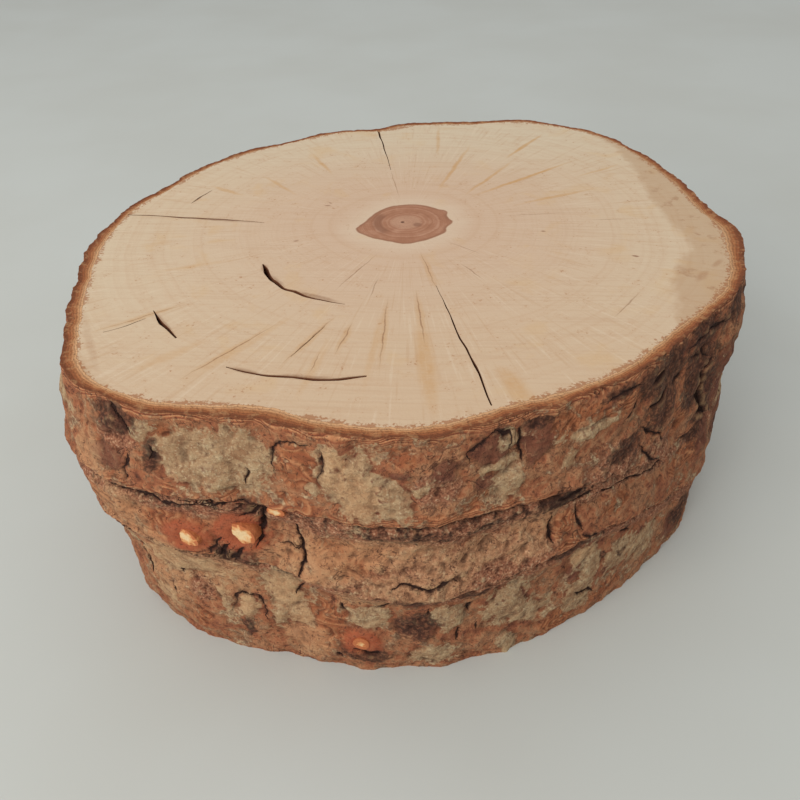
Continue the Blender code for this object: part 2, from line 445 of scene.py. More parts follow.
# What lies where on the front: (azimuth, height, half the width, half the height)
PATCHES: dict[Patch, tuple[Blot, ...]] = {
    # Grey-green patches
    Patch.LICHEN: blots(
        (240, 147, 11, 10), (246, 144, 12, 13), (243, 134, 13, 6), (234.6, 153, 3, 4),
        (258.7, 149, 4, 9), (262.2, 138, 9, 16), (256.8, 135, 3, 3), (266.5, 131, 7, 9),
        (270.2, 137.5, 3, 2), (280, 142.5, 7, 2.5), (281.5, 153.5, 5, 2.5), (281.5, 130, 5, 8),
        (290.8, 134.5, 4, 4), (293.5, 145.5, 11, 2), (234.5, 62.5, 17, 7), (249.3, 55, 8.5, 13),
        (243.1, 38, 4.5, 8), (239.3, 38.5, 2.5, 9), (247.7, 32.5, 4.5, 7.5),
        (250.7, 35.5, 5.5, 5.5), (262.5, 42.5, 8, 6.5), (273.9, 41.5, 5, 9.5), (283.7, 42, 10, 13),
        (287.7, 26.5, 9, 6), (284, 8, 4, 8), (297.5, 54, 8, 6), (299.5, 40, 5, 12),
        (297.5, 21, 8, 10), (307, 36, 14, 9), (228, 26, 6, 9), (271, 13, 9, 6), (314, 30, 9, 10),
    ),
    # Orange-brown patches, where flakes have come away in thin layers
    Patch.OCHRE: blots(
        (237.3, 155, 5.5, 4), (237.5, 124, 5, 3), (245, 127, 7, 2), (253, 124, 10, 5),
        (254.3, 145.5, 11, 11.5), (267.7, 155, 5.5, 5), (273.5, 118.5, 31, 5), (278.5, 124, 5, 3),
        (295, 152, 33, 9), (317, 120, 13, 20), (233.5, 96, 25, 14), (251.7, 87, 5.5, 5),
        (260, 91, 17, 9), (292, 88.5, 6.5, 8.5), (292.5, 72, 15, 7), (302, 85, 10, 5),
        (322.3, 75, 15.5, 10), (234.5, 19.5, 5, 10.5), (256, 40, 12, 10), (257.3, 22, 15, 12),
        (294, 10.5, 10, 10.5), (304.5, 13, 15, 5), (224, 100, 10, 14),
    ),
    # Dark red-brown plates and spots
    Patch.DARK: blots(
        (229, 150.5, 3.5, 3), (236.3, 144, 2.5, 5), (229.5, 135.5, 8, 5.5), (242, 142, 1.6, 1.6),
        (245, 145, 1.6, 1.6), (243, 149, 1.6, 1.6), (273.5, 146, 5.5, 4.5), (279, 152.5, 8, 6.5),
        (278.5, 134, 5, 5), (285.5, 149.5, 8, 9.5), (264, 136, 1.7, 1.7), (267.8, 146, 2.5, 2),
        (322.5, 155, 21, 4), (267.8, 62.5, 6, 8), (296, 73, 4.5, 6), (328.5, 77, 5, 10),
        (269.2, 38, 10.5, 9), (296.2, 44.5, 4, 5.5), (302, 44, 2.2, 2.2), (307.5, 37, 2.2, 2.2),
        (242.5, 21.5, 3.5, 7.5), (324, 17.5, 8, 8.5), (256.8, 11.5, 3, 3.5), (244, 82, 9, 10),
        (247.5, 116, 6, 5), (330, 115, 13, 22), (337, 80, 12, 16),
    ),
    # Crumbly dark bark
    Patch.GRAIN: blots(
        (277, 108, 40, 8), (277, 80, 40, 17), (299.5, 118.5, 15, 12.5), (231, 148, 9, 7),
        (240, 116, 26, 4), (272, 138, 9, 8), (310, 104, 16, 9), (262, 72, 18, 8), (236, 42, 7, 8),
    ),
    # Where the bark is lighter than the rest
    Patch.PALE: blots(
        (240, 60, 16, 20), (255, 84, 20, 14), (249.3, 54, 9, 12), (276, 88, 28, 9),
        (228, 95, 16, 20), (230, 50, 12, 26), (252, 18, 14, 12), (262, 136, 8, 15),
        (259, 149, 5, 8), (251, 35, 6, 6), (228, 24, 9, 12), (262, 60, 16, 7), (243, 38, 5, 8),
        (286, 86, 12, 8), (297, 54, 9, 6), (226, 128, 8, 14), (266, 96, 22, 12), (270, 76, 24, 9),
        (287, 98, 14, 9), (233, 78, 16, 12),
    ),
    # Dark mottled bark: partly its own mottling, partly painted shade on the right side away from the lamp,
    # in folds and round the creases
    Patch.SHADE: blots(
        (311, 152, 13, 13), (310, 133, 12, 12), (321, 146, 15, 22), (322, 122, 13, 12),
        (332, 157, 14, 8), (291, 109, 12, 6), (301, 123, 11, 7), (231, 155, 8, 6),
        (247.6, 117, 5, 5), (242.5, 82, 6, 8), (247.8, 103, 2.5, 9), (262, 13, 9, 5),
        (258.6, 18, 3, 5), (269.2, 38, 9, 8), (242.5, 21.5, 3.5, 7), (307.5, 37, 3, 3),
        (302, 44, 3, 3), (267.8, 62.5, 6, 6), (296.2, 73, 5, 4), (305, 152, 6, 8), (299, 158, 9, 3),
        (286, 159, 6, 3), (236, 141, 3, 8), (277, 59.5, 12, 3), (292, 66, 12, 3), (326, 100, 8, 20),
        (328, 20, 10, 9),
    ),
}

# The splits and folds of the front: path, width, depth
FISSURES = fissures(
    (((325.4, 135.6), (322.4, 131), (323.2, 120), (325, 106), (327.3, 95), (330, 89)), 6, 6),
    (((305.5, 150), (307.5, 154), (311, 156)), 4, 3.4),
    (((305.8, 136), (308, 140.5), (311, 143)), 4, 3),
    (((312.4, 140), (315.5, 145)), 2.4, 2.2),
    (((299.4, 139), (302, 144), (303.2, 150)), 1.4, 1.2),
    (((296, 156.5), (300, 158), (304, 156)), 1.4, 1.2),
    (((304.3, 130), (307.7, 122), (310, 115), (313, 107)), 1.9, 2.4),
    (((304.7, 120), (306.6, 111), (308.8, 102), (313, 92)), 1.8, 2.2),
    (((316, 155), (322, 156.6), (329, 154)), 2.2, 1.8),
    (((317, 148), (322, 143), (324, 137)), 1.6, 1.6),
    (((230, 165), (232.2, 156), (233.7, 149)), 1.8, 2.4),
    (((232.6, 140), (232.4, 131), (232, 124)), 1.5, 2.0),
    (((235.8, 148), (236.6, 143), (235.8, 139)), 2.4, 2.0),
    (((247.4, 140), (247.7, 131)), 1.4, 1.8),
    (((250.9, 136), (250.9, 149), (252.2, 156), (257, 158)), 1.4, 1.3),
    (((257.8, 157), (257.9, 146), (257.4, 139)), 1.2, 1.1),
    (((283.1, 159), (282.8, 149), (283.2, 140)), 1.6, 2.2),
    (((276.2, 145), (276.4, 153), (278.8, 159.5), (281.6, 156), (281.8, 148)), 1.3, 1.2),
    (((226, 121), (232, 118), (238, 119.5), (243, 117), (247, 119)), 1.7, 2.0),
    (((226, 114), (233, 112.5), (240, 114), (246, 113)), 1.4, 1.6),
    (((248.7, 115), (246.7, 110), (245.2, 107.6)), 2.2, 2.2),
    (((248.6, 117.6), (246.4, 116.6), (244.8, 114)), 2.6, 2.6),
    (((248.2, 120), (246.2, 121.6), (244.4, 120)), 1.8, 1.6),
    (((251, 118), (249, 116.5), (247, 112)), 3.0, 3.0),
    (((290, 108), (293, 107), (297, 108)), 2.6, 3),
    (((290, 102), (294, 101), (297, 100)), 2.6, 3),
    (((297, 99), (303, 94), (310, 89.5), (316, 83), (318, 79)), 2.0, 2.4),
    (((249.2, 118), (248.4, 107), (247.4, 98.5), (247, 88)), 3.6, 4),
    (((243.7, 92), (241.9, 83.5), (240.1, 75)), 3.2, 3.4),
    (((245.6, 89.5), (243.7, 81.8), (242.6, 74)), 2.2, 2.4),
    (((242.6, 97), (241.4, 90), (240.1, 81.8)), 1.6, 1.6),
    (((252.8, 109), (253.3, 97), (253.1, 90), (253.7, 85), (253.3, 77), (252, 71)), 1.9, 3),
    (((250, 93), (251.7, 92.2), (253, 89)), 1.1, 1.0),
    (((265.6, 76), (268, 78), (271, 76), (273, 77.6), (275.4, 76)), 2.3, 3),
    (((289.8, 98), (289.5, 90), (289.9, 80)), 2.2, 3),
    (((294.5, 98), (294.3, 88), (295, 79)), 1.8, 2.0),
    (((294.6, 78), (297.3, 74), (296, 68)), 3.2, 2.6),
    (((228, 83), (234, 81.5), (240, 82.5)), 1.6, 1.8),
    (((230, 75.8), (236, 75)), 1.6, 1.8),
    (((305.8, 56), (309, 50)), 1.8, 2.0),
    (((226.4, 67), (225.6, 58), (226.4, 50), (225.8, 38)), 4, 4),
    (((230.7, 41), (230.7, 31)), 1.6, 2),
    (((232.7, 54), (233.4, 54)), 4, 2),
    (((240, 31), (240.6, 40), (241.8, 46), (244.5, 47), (245.4, 40), (245.4, 28)), 1.6, 1.7),
    (((252.8, 64), (251.9, 58), (251.2, 52)), 1.6, 2),
    (((259.6, 20), (261, 15.5), (263.2, 14)), 4, 3.4),
    (((256.4, 14), (257.4, 9)), 3, 2.4),
    (((258.2, 56), (258.6, 50), (259.2, 45)), 1.5, 2),
    (((266.3, 55), (262.6, 51)), 1.5, 1.8),
    (((271.1, 53), (270.9, 44)), 1.5, 1.8),
    (((277, 50), (277, 41)), 1.5, 2),
    (((275.6, 32), (275.8, 22)), 1.6, 2.2),
    (((278.6, 32), (278.6, 26)), 1.3, 1.6),
    (((297, 27), (299.4, 22), (302, 17)), 2.4, 2.4),
)

# The maps that every collar carries for its finish; "hollow" holds painted shade, with some dark stain
MAPS = (
    "lichen", "ochre", "dark", "grain", "pale", "shade", "hollow", "halo", "strata", "banded",
    "split", "gape", "worn", "sawn", "cut",
)


@dataclass(frozen=True)
class Stub:
    """A twig that was sawn off close to the bark.

    Attributes:
        name: The piece's name.
        azimuth: Where its middle is.
        height: How high its middle is.
        width: Half its width.
        tall: Half its height.
        length: How far its face stands out from the plain side.
        halo: How far the bark round it is swollen.
        browned: How far the brown of its edge has crept inwards.
    """

    name: str
    azimuth: float
    height: float
    width: float
    tall: float
    length: float
    halo: float
    browned: float


STUBS = (
    Stub("left_twig_stub", 238.1, 93.4, 7.4, 5.2, 1.5, 10.5, 0.2),
    Stub("middle_twig_stub", 245.2, 98.0, 8.2, 6.2, 1.8, 12.5, 0.14),
    Stub("right_twig_stub", 250.6, 114.6, 4.2, 2.8, -0.6, 5.0, 0.24),
    Stub("foot_twig_stub", 260.7, 24.6, 4.2, 4.4, 1.6, 10.0, 0.52),
)


@dataclass
class BarkSkin:
    """Works out the bark's relief and what shows on it, for any places on the trunk.

    Attributes:
        trunk: The trunk.
        seed: Chooses the noise and what lies on the sides away from the front.
        far_side: The azimuths between which nothing is listed.
        split_count: How many splits are drawn there.
        noises: Eight noises that the relief and the maps share.
        hidden: The patches drawn there.
        hidden_fissures: The splits drawn there.
    """

    trunk: Trunk
    seed: int = 11
    far_side: Place = (333.0, 582.0)
    split_count: int = 84
    noises: list[Noise] = field(init=False)
    hidden: dict[Patch, tuple[Blot, ...]] = field(init=False)
    hidden_fissures: tuple[Fissure, ...] = field(init=False)

    def __post_init__(self) -> None:
        """Draws the noises, and the patches and splits of the sides that have no list."""
        self.noises = [Noise(self.seed + step) for step in range(8)]
        draw = np.random.default_rng(self.seed)
        counts = {
            Patch.LICHEN: 62, Patch.OCHRE: 46, Patch.DARK: 22, Patch.GRAIN: 22, Patch.PALE: 26,
            Patch.SHADE: 30,
        }
        self.hidden = {}
        for patch, count in counts.items():
            places = zip(draw.uniform(*self.far_side, count), draw.uniform(6, 160, count))
            sizes = zip(draw.uniform(3, 17, count), draw.uniform(3, 12, count))
            self.hidden[patch] = tuple(Blot(*place, *size) for place, size in zip(places, sizes))
        self.hidden_fissures = tuple(self.stray_split(draw) for _ in range(self.split_count))

    def stray_split(self, draw: np.random.Generator) -> Fissure:
        """Draws one split that wanders down the far side.

        Args:
            draw: Where its place, its bends and its size come from.

        Returns:
            The split.
        """
        azimuth, height = draw.uniform(*self.far_side), draw.uniform(6, 158)
        heading, width = draw.normal(-90, 38), draw.choice((0.9, 1.3, 1.9, 2.8))
        path = [(azimuth, height)]
        for _ in range(draw.integers(2, 5)):
            heading += draw.uniform(-42, 42)
            step = draw.uniform(3, 8)
            azimuth += math.degrees(step * math.cos(math.radians(heading)) / MEAN_RADIUS)
            height += step * math.sin(math.radians(heading))
            path.append((azimuth, min(max(height, 2.0), 160.0)))
        return Fissure(tuple(path), width, width * draw.uniform(0.7, 1.1))

    def across(self, azimuth: np.ndarray, middle: float) -> np.ndarray:
        """How far each azimuth is from a middle one, along the bark, in millimetres."""
        turn = (azimuth - middle + FULL_TURN / 2) % FULL_TURN - FULL_TURN / 2
        return np.radians(turn) * MEAN_RADIUS

    def blots(self, patch: Patch, azimuth: np.ndarray, height: np.ndarray) -> np.ndarray:
        """How strongly a kind of patch shows.

        Args:
            patch: The kind.
            azimuth: The azimuth of each place.
            height: The height of each place.

        Returns:
            A strength from 0 to 1 for each place.
        """
        total = np.zeros(azimuth.shape)
        for blot in PATCHES[patch] + self.hidden[patch]:
            x = self.across(azimuth, blot.azimuth) / blot.half_width
            z = (height - blot.height) / blot.half_height
            near = (np.abs(x) < 2.2) & (np.abs(z) < 2.2)
            total[near] = np.maximum(total[near], np.exp(-0.7 * (x[near] ** 2 + z[near] ** 2) ** 1.3))
        return total

    @staticmethod
    def beside(bends: np.ndarray, x: np.ndarray, z: np.ndarray) -> tuple[np.ndarray, ...]:
        """Where some places are beside a path.

        Args:
            bends: The path's points.
            x: How far along the bark each place is.
            z: How high each place is.

        Returns:
            How far each place is from the path, which side it is on, and what share of the path
            lies before its nearest point.
        """
        away, side, along = np.full(x.shape, 1e9), np.ones(x.shape), np.zeros(x.shape)
        spans = np.diff(bends, axis=0)
        lengths = np.hypot(*spans.T)
        begun = np.concatenate([[0], np.cumsum(lengths)])
        for (x0, z0), (dx, dz), length, before in zip(bends, spans, lengths, begun):
            share = np.clip(((x - x0) * dx + (z - z0) * dz) / length**2, 0, 1)
            right, up = x - x0 - share * dx, z - z0 - share * dz
            gap = np.hypot(right, up)
            side = np.where(gap < away, np.where(dx * up < dz * right, -1.0, 1.0), side)
            along = np.where(gap < away, (before + share * length) / begun[-1], along)
            away = np.minimum(away, gap)
        return away, side, along

    def fissures(self, azimuth: np.ndarray, height: np.ndarray) -> Maps:
        """The splits and folds.

        Args:
            azimuth: The azimuth of each place.
            height: The height of each place.

        Returns:
            How deep each place is sunk, under "sunk"; how much painted shade, with some dark stain, lies in
            and round the split, under "hollow";
            and, for the nearest split, how far its line is in millimetres, signed by the side,
            under "split", and half its width there, under "gape".
        """
        flat = on_plain_round(azimuth, height)
        found = {name: np.zeros(azimuth.shape) for name in ("sunk", "hollow", "gape")}
        found["split"] = np.full(azimuth.shape, 9.0)
        sideways = 1.2 * self.noises[2].rough(flat, 6.5, 3)
        upwards = height + 1.2 * self.noises[5].rough(flat, 6.5, 3)
        swell = np.clip(0.8 + 0.8 * self.noises[3].rough(flat, 9, 2), 0.25, 1.5)
        for fissure in FISSURES + self.hidden_fissures:
            start = fissure.path[0][0]
            x = self.across(azimuth, start) + sideways
            bends = np.array([(float(self.across(np.array(a), start)), z) for a, z in fissure.path])
            reach = 2.5 * fissure.width + 3
            low, high = bends.min(axis=0) - reach, bends.max(axis=0) + reach
            near = (x > low[0]) & (x < high[0]) & (upwards > low[1]) & (upwards < high[1])
            if not near.any():
                continue
            away, side, along = self.beside(bends, x[near], upwards[near])
            taper = 1 - np.abs(2 * along - 1) ** 3
            wide = fissure.width * taper * swell[near]
            fold = np.clip(1 - away / (0.5 * wide + 0.7), 0, 1) ** 1.3
            found["sunk"][near] = np.maximum(found["sunk"][near], 0.75 * fissure.depth * taper * fold)
            # Painted shade, with some dark stain, in and round the split
            stain_and_shade = 0.5 * taper * np.exp(-((away / (0.7 * wide + 1.0)) ** 2))
            found["hollow"][near] = np.maximum(found["hollow"][near], stain_and_shade)
            closest = away < np.abs(found["split"][near])
            for name, values in (("split", side * away), ("gape", 0.36 * wide)):
                found[name][near] = np.where(closest, values, found[name][near])
        return found

    def stubs(self, azimuth: np.ndarray, height: np.ndarray) -> tuple[np.ndarray, np.ndarray]:
        """The swellings round the stubs.

        Args:
            azimuth: The azimuth of each place.
            height: The height of each place.

        Returns:
            How far each place is raised, and how strongly its halo shows, from 0 to 1.
        """
        raised, halo = np.zeros(azimuth.shape), np.zeros(azimuth.shape)
        for stub in STUBS:
            away = np.hypot(self.across(azimuth, stub.azimuth), height - stub.height)
            ring = np.exp(-(((away - stub.halo * 0.62) / (stub.halo * 0.3)) ** 2))
            raised = np.maximum(raised, 0.9 * ring + 0.7 * np.exp(-((away / stub.halo) ** 4)))
            halo = np.maximum(halo, np.exp(-((away / stub.halo) ** 3)))
        return raised, halo

    def work_out(self, azimuth: np.ndarray, height: np.ndarray, lip: np.ndarray) -> Maps:
        """The relief and the maps of some places.

        Args:
            azimuth: The azimuth of each place, in rows and columns.
            height: The height of each place.
            lip: How far each place is above its collar's lower lip.

        Returns:
            The relief in millimetres, under "relief", and each shading map from 0 to 1.
        """
        one, two, three, _, five, six, seven, eight = self.noises
        flat = on_plain_round(azimuth, height)
        wide = flat * np.array([1, 1, 1.9])
        warp_x = 4.0 * one.rough(flat, 16, 3) + 1.3 * two.at(flat, 4)
        warp_z = 3.0 * two.rough(flat, 14, 3) + 1.0 * three.at(flat, 4)
        bent = azimuth + np.degrees(warp_x / MEAN_RADIUS)
        raised = height + warp_z
        maps = {patch.value: self.blots(patch, bent, raised) for patch in Patch}
        slight = azimuth + np.degrees(0.45 * warp_x / MEAN_RADIUS)
        found = self.fissures(slight, height + 0.45 * warp_z)
        hollow = found["hollow"]
        stub_rise, halo = self.stubs(azimuth, height)
        rim = self.trunk.height - height
        near_lip = np.exp(-lip / 7.0)
        near_rim = np.exp(-rim / 6.0)
        drift = five.rough(wide, 46, 3)
        strata = 5.5 * drift + 5.5 * near_lip + 5.0 * near_rim + 1.6 * maps["ochre"]
        ochre = np.maximum(maps["ochre"], 0.9 * near_lip + 0.85 * near_rim)
        ochre = np.maximum(ochre, halo)
        lichen = maps["lichen"] * (1 - 0.8 * near_rim) * (1 - np.clip(1.4 * near_lip - 0.4, 0, 1))
        grain = maps["grain"] * (1 - halo)
        step = strata * 0.55
        terrace = np.floor(step) + ease_between(0.55, 1.0, step - np.floor(step))
        relief = 1.6 * six.at(flat, 19) + 0.9 * seven.at(flat, 9)
        relief += 2.4 * unseen(azimuth) * two.at(flat, 47)
        relief += 0.9 * (terrace - step) * np.clip(ochre, 0.25, 1)
        relief += 0.7 * ease_between(0.35, 0.6, lichen) + 0.4 * ease_between(0.4, 0.6, maps["dark"])
        relief += (0.35 + 0.75 * grain) * eight.rough(flat, 5.0, 3)
        relief += 0.3 * three.at(flat, 2.4) * (0.5 + grain + near_rim)
        relief += 0.8 * one.rough(flat + 90, 11, 4) * (1 - 0.5 * near_lip)
        relief = relief * (1 - 0.7 * halo) + stub_rise * (1 - 0.6 * hollow) - found["sunk"]
        maps.update(
            relief=relief, ochre=ochre, lichen=lichen, grain=grain, hollow=hollow, strata=strata,
            halo=halo, dark=maps["dark"] * (1 - halo), banded=np.maximum(near_lip, near_rim),
            split=found["split"], gape=found["gape"],
        )
        return maps


def blurred(values: np.ndarray, reach: int) -> np.ndarray:
    """Averages values over a square.

    Args:
        values: The values, in rows and columns that close on themselves.
        reach: How many rows and columns the square takes in on each side.

    Returns:
        The averages, in rows and columns.
    """
    padded = np.pad(values, ((reach, reach), (0, 0)), mode="edge")
    padded = np.pad(padded, ((0, 0), (reach, reach)), mode="wrap")
    size = 2 * reach + 1
    total = np.cumsum(np.pad(padded, ((1, 0), (0, 0))), axis=0)
    padded = (total[size:] - total[:-size]) / size
    total = np.cumsum(np.pad(padded, ((0, 0), (1, 0))), axis=1)
    return (total[:, size:] - total[:, :-size]) / size


def mesh_of(name: str, shape: bmesh.types.BMesh) -> bpy.types.Mesh:
    """Turns a finished shape into a mesh.

    Args:
        name: The mesh's name.
        shape: The shape, which is freed.

    Returns:
        The mesh.
    """
    mesh = bpy.data.meshes.new(name)
    shape.to_mesh(mesh)
    shape.free()
    return mesh


def add_piece(name: str, mesh: bpy.types.Mesh) -> bpy.types.Object:
    """Puts a mesh in the scene as a piece of its own.

    Args:
        name: The piece's name.
        mesh: Its mesh.

    Returns:
        The piece.
    """
    piece = bpy.data.objects.new(name, mesh)
    bpy.context.scene.collection.objects.link(piece)
    return piece


@dataclass
class Collar:
    """One collar of the bark: a closed ring whose lower lip hangs over the crease below it.

    Attributes:
        name: The piece's name.
        trunk: The trunk.
        skin: Where the relief and the maps come from.
        bottom: The crease below the collar, if there is one.
        top: The crease above the collar, if there is one.
        rows: How many rows of faces the outside has.
        columns: How many faces go round.
        tuck: How far the collar goes on up behind the lip over it.
        rebate: How far its back stops above its lower edge.
        roll: The radius of its lower lip.
        thinnest: The least thickness of the bark.
        fit: How far its back is clear of the wood.
        cut_rows: How many rows of faces the top edge has.
        back_rows: How many rows of faces the back has.
        strips: How many strips its map for baking is cut into.
        crease_angle: The angle past which an edge is sharp.
    """

    name: str
    trunk: Trunk
    skin: BarkSkin
    bottom: Crease | None
    top: Crease | None
    rows: int
    columns: int = 1180
    tuck: float = 5.5
    rebate: float = 7.0
    roll: float = 3.2
    thinnest: float = 0.8
    fit: float = 0.05
    cut_rows: int = 9
    back_rows: int = 2
    strips: int = 4
    crease_angle: float = math.radians(65)

    def wander(self, azimuth: np.ndarray, crease: Crease) -> np.ndarray:
        """How far a crease strays up and down from its smooth curve.

        Args:
            azimuth: Where it is wanted.
            crease: The crease.

        Returns:
            One distance for each azimuth.
        """
        place = on_plain_round(azimuth, crease.height.at(azimuth))
        slow = 7.0 * unseen(azimuth) * self.skin.noises[6].at(place, 55)
        broad = 1.3 * self.skin.noises[3].rough(place, 26, 4)
        return slow + broad + 0.6 * self.skin.noises[1].rough(place, 6, 3)

    def outer_wall(self, azimuth: np.ndarray) -> tuple[np.ndarray, np.ndarray, Maps]:
        """The outside of the ring, in rows from the bottom up and a column for each azimuth.

        Args:
            azimuth: The azimuth of each column.

        Returns:
            The distance from the pith, the height and the maps of each place.
        """
        trunk, no_lip = self.trunk, 60.0
        low, seam = np.zeros_like(azimuth), np.full_like(azimuth, trunk.height)
        top = lip = seam
        if self.bottom:
            low = self.bottom.height.at(azimuth) + self.wander(azimuth, self.bottom)
            low += self.bottom.gap.at(azimuth)
        if self.top:
            seam = self.top.height.at(azimuth) + self.wander(azimuth, self.top)
            lip = seam + self.top.gap.at(azimuth)
            top = lip + self.tuck
        height = low + np.linspace(0, 1, self.rows + 1)[:, None] * (top - low)
        above = height - low if self.bottom else np.full_like(height, no_lip)
        maps = self.skin.work_out(np.broadcast_to(azimuth, height.shape), height, above)
        relief = maps.pop("relief")
        distance = trunk.side(azimuth, height) + relief
        if self.bottom:
            distance = self.rolled_in(distance, above, maps)
        if self.top:
            levels = (height, seam - height, lip - height)
            distance = self.tucked_in(azimuth, distance, relief, levels, maps)
        distance = np.maximum(distance, trunk.wood(azimuth, height) + self.thinnest)
        # How far the relief stands above its neighbours: the finish lays painted shade in its dips and a
        # lighter tan on its ridges
        maps["worn"] = np.clip(0.5 + 0.55 * (relief - blurred(relief, 3)), 0, 1)
        maps["sawn"] = np.zeros_like(height)
        maps["cut"] = np.zeros_like(height)
        return distance, height, maps

    def rolled_in(self, distance: np.ndarray, above: np.ndarray, maps: Maps) -> np.ndarray:
        """Rounds the lower lip, with a slight swelling over it.

        Args:
            distance: How far each place is from the pith.
            above: How far it is above the lower edge.
            maps: The maps, where painted shade is laid on the underside.

        Returns:
            The new distances.
        """
        under = np.clip(1 - above / self.roll, 0, 1)
        distance = distance - self.roll * (1 - np.sqrt(1 - under**2))
        # Painted shade on the underside of the rolled lip
        maps["hollow"] = np.maximum(maps["hollow"], ease_between(0.6, 1.1, under))
        return distance + 1.2 * np.exp(-(((above - 4) / 3.5) ** 2))

    def tucked_in(
        self,
        azimuth: np.ndarray,
        distance: np.ndarray,
        relief: np.ndarray,
        levels: tuple[np.ndarray, np.ndarray, np.ndarray],
        maps: Maps,
    ) -> np.ndarray:
        """Draws the top of the collar in under the lip over it.

        Args:
            azimuth: The azimuth of each column.
            distance: How far each place is from the pith.
            relief: The relief there.
            levels: Its height, how far it is below the crease and how far below the lip.
            maps: The maps, where painted shade is laid just under the lip, the band below it is darkened,
                partly with painted shade and partly as dark crumbly bark, and made crumbly.

        Returns:
            The new distances.
        """
        trunk, noises = self.trunk, self.skin.noises
        height, below, hang = levels
        crease = on_plain_round(azimuth, self.top.height.at(azimuth))
        shut = 0.4 + 0.3 * unseen(azimuth) + 0.9 * noises[7].rough(crease, 34, 2)
        shut = np.clip(shut, 0, 0.95)
        inset = trunk.recess(azimuth, self.top) + trunk.groove * shut * ease_between(0.2, 3.0, hang)
        inset = inset + 0.8 * relief * ease_between(0.5, 3.0, hang)
        pull = ease_between(7.0, 0.5, below)
        flat = on_plain_round(azimuth, height)
        # Under the lip: painted shade right under its edge, then patchy darkening below, partly painted
        # shade and partly dark crumbly bark
        patchy = 0.36 + 0.28 * noises[4].rough(flat, 17, 3) + 0.5 * noises[2].rough(flat, 4, 2)
        stain_and_shade = ease_between(11, 0, below) * np.clip(patchy, 0.0, 0.4)
        for dark in (ease_between(2.6, 0.2, hang), stain_and_shade):
            maps["hollow"] = np.maximum(maps["hollow"], dark)
        maps["grain"] = np.maximum(maps["grain"], 0.8 * ease_between(14, 4, below))
        return distance + (np.minimum(distance, inset) - distance) * pull

    def underside(
        self, azimuth: np.ndarray, edge: np.ndarray, level: np.ndarray
    ) -> tuple[np.ndarray, tuple[tuple[np.ndarray, np.ndarray], ...]]:
        """The way from the foot of the back out to the lower edge.

        Args:
            azimuth: The azimuth of each column.
            edge: How far the lower edge is from the pith.
            level: The lower edge's height.

        Returns:
            The foot of the back's distance, and then the distance and height of each row.
        """
        if self.bottom is None:
            foot = self.trunk.wood(azimuth, level) + self.fit
            return foot, (((2 * foot + edge) / 3, level), ((foot + 2 * edge) / 3, level))
        floor = level + self.rebate
        foot = self.trunk.wood(azimuth, floor) + self.fit
        inset = np.clip(self.trunk.recess(azimuth, self.bottom) + 0.3, foot + 0.2, edge - 1.2)
        return foot, (((foot + inset) / 2, floor), (inset, floor), (inset + 0.6, level + 3))

    def section(self, azimuth: np.ndarray) -> tuple[np.ndarray, np.ndarray, Maps]:
        """The whole cross-section: up the outside, in over the top, down the back and out again.

        Args:
            azimuth: The azimuth of each column.

        Returns:
            The same as outer_wall, with the first row again as the last.
        """
        trunk = self.trunk
        distance, height, maps = self.outer_wall(azimuth)
        wall = len(distance)
        share = np.linspace(0, 1, self.cut_rows + 1)[1:, None]
        inner = trunk.wood(azimuth, height[-1]) + self.fit
        over = distance[-1] + share * (inner - distance[-1])
        crumbs = self.skin.noises[6].rough(trunk.metres(azimuth, over, 0 * over) / MM, 7, 3)
        over_height = height[-1] - np.sin(share * math.pi) * np.clip(0.35 + 0.3 * crumbs, 0, 1)
        foot, under = self.underside(azimuth, distance[0], height[0])
        share = np.linspace(0, 1, self.back_rows + 1)[1:, None]
        back = inner + share * (foot - inner)
        back_height = height[-1] + share * (under[0][1] - height[-1])
        full_distance = np.vstack([distance, over, back, *(row[0] for row in under), distance[0]])
        full_height = np.vstack([height, over_height, back_height, *(row[1] for row in under), height[0]])
        added = len(full_distance) - wall
        full = {name: np.vstack([rows, np.tile(rows[-1:], (added, 1))]) for name, rows in maps.items()}
        cut, hidden = slice(wall, wall + len(over)), slice(wall + len(over), len(full_distance) - 1)
        # Painted shade over the whole back and underside of a collar that hangs over a crease
        full["hollow"][hidden] = 1.0 if self.bottom else 0.0
        if self.top is None:
            full["sawn"][cut] = np.linspace(0, 1, len(over))[:, None]
            full["cut"][wall - 1 : cut.stop] = 1.0
            full["hollow"][cut] = 0.0
        if self.bottom is None:
            full["sawn"][hidden] = np.linspace(1, 0, hidden.stop - hidden.start)[:, None]
            full["cut"][hidden] = 1.0
        for values in full.values():
            values[-1] = values[0]
        return full_distance, full_height, full

    def build(self) -> bpy.types.Object:
        """Models the ring from one sheet that closes both ways.

        Returns:
            The piece.
        """
        azimuth = np.linspace(0, FULL_TURN, self.columns + 1)
        azimuth[-1] = 0.0
        distance, height, maps = self.section(azimuth)
        rows = len(distance) - 1
        sheet = bmesh.new()
        bmesh.ops.create_grid(sheet, x_segments=self.columns, y_segments=rows, size=0.5)
        mesh = mesh_of(self.name, sheet)
        place = np.zeros(len(mesh.vertices) * 3)
        mesh.vertices.foreach_get("co", place)
        place = place.reshape(-1, 3)
        column = np.rint((place[:, 0] + 0.5) * self.columns).astype(int)
        row = np.rint((place[:, 1] + 0.5) * rows).astype(int)
        points = self.trunk.metres(azimuth[column], distance[row, column], height[row, column])
        mesh.vertices.foreach_set("co", points.astype(np.float32).ravel())
        for name in MAPS:
            layer = mesh.attributes.new(name, "FLOAT", "POINT")
            layer.data.foreach_set("value", maps[name][row, column].astype(np.float32))
        self.lay_flat(mesh, column / self.columns, row / rows)
        shell = bmesh.new()
        shell.from_mesh(mesh)
        bmesh.ops.remove_doubles(shell, verts=shell.verts, dist=1e-7)
        bmesh.ops.recalc_face_normals(shell, faces=shell.faces)
        shell.to_mesh(mesh)
        shell.free()
        mesh.shade_smooth()
        mesh.set_sharp_from_angle(angle=self.crease_angle)
        return add_piece(self.name, mesh)

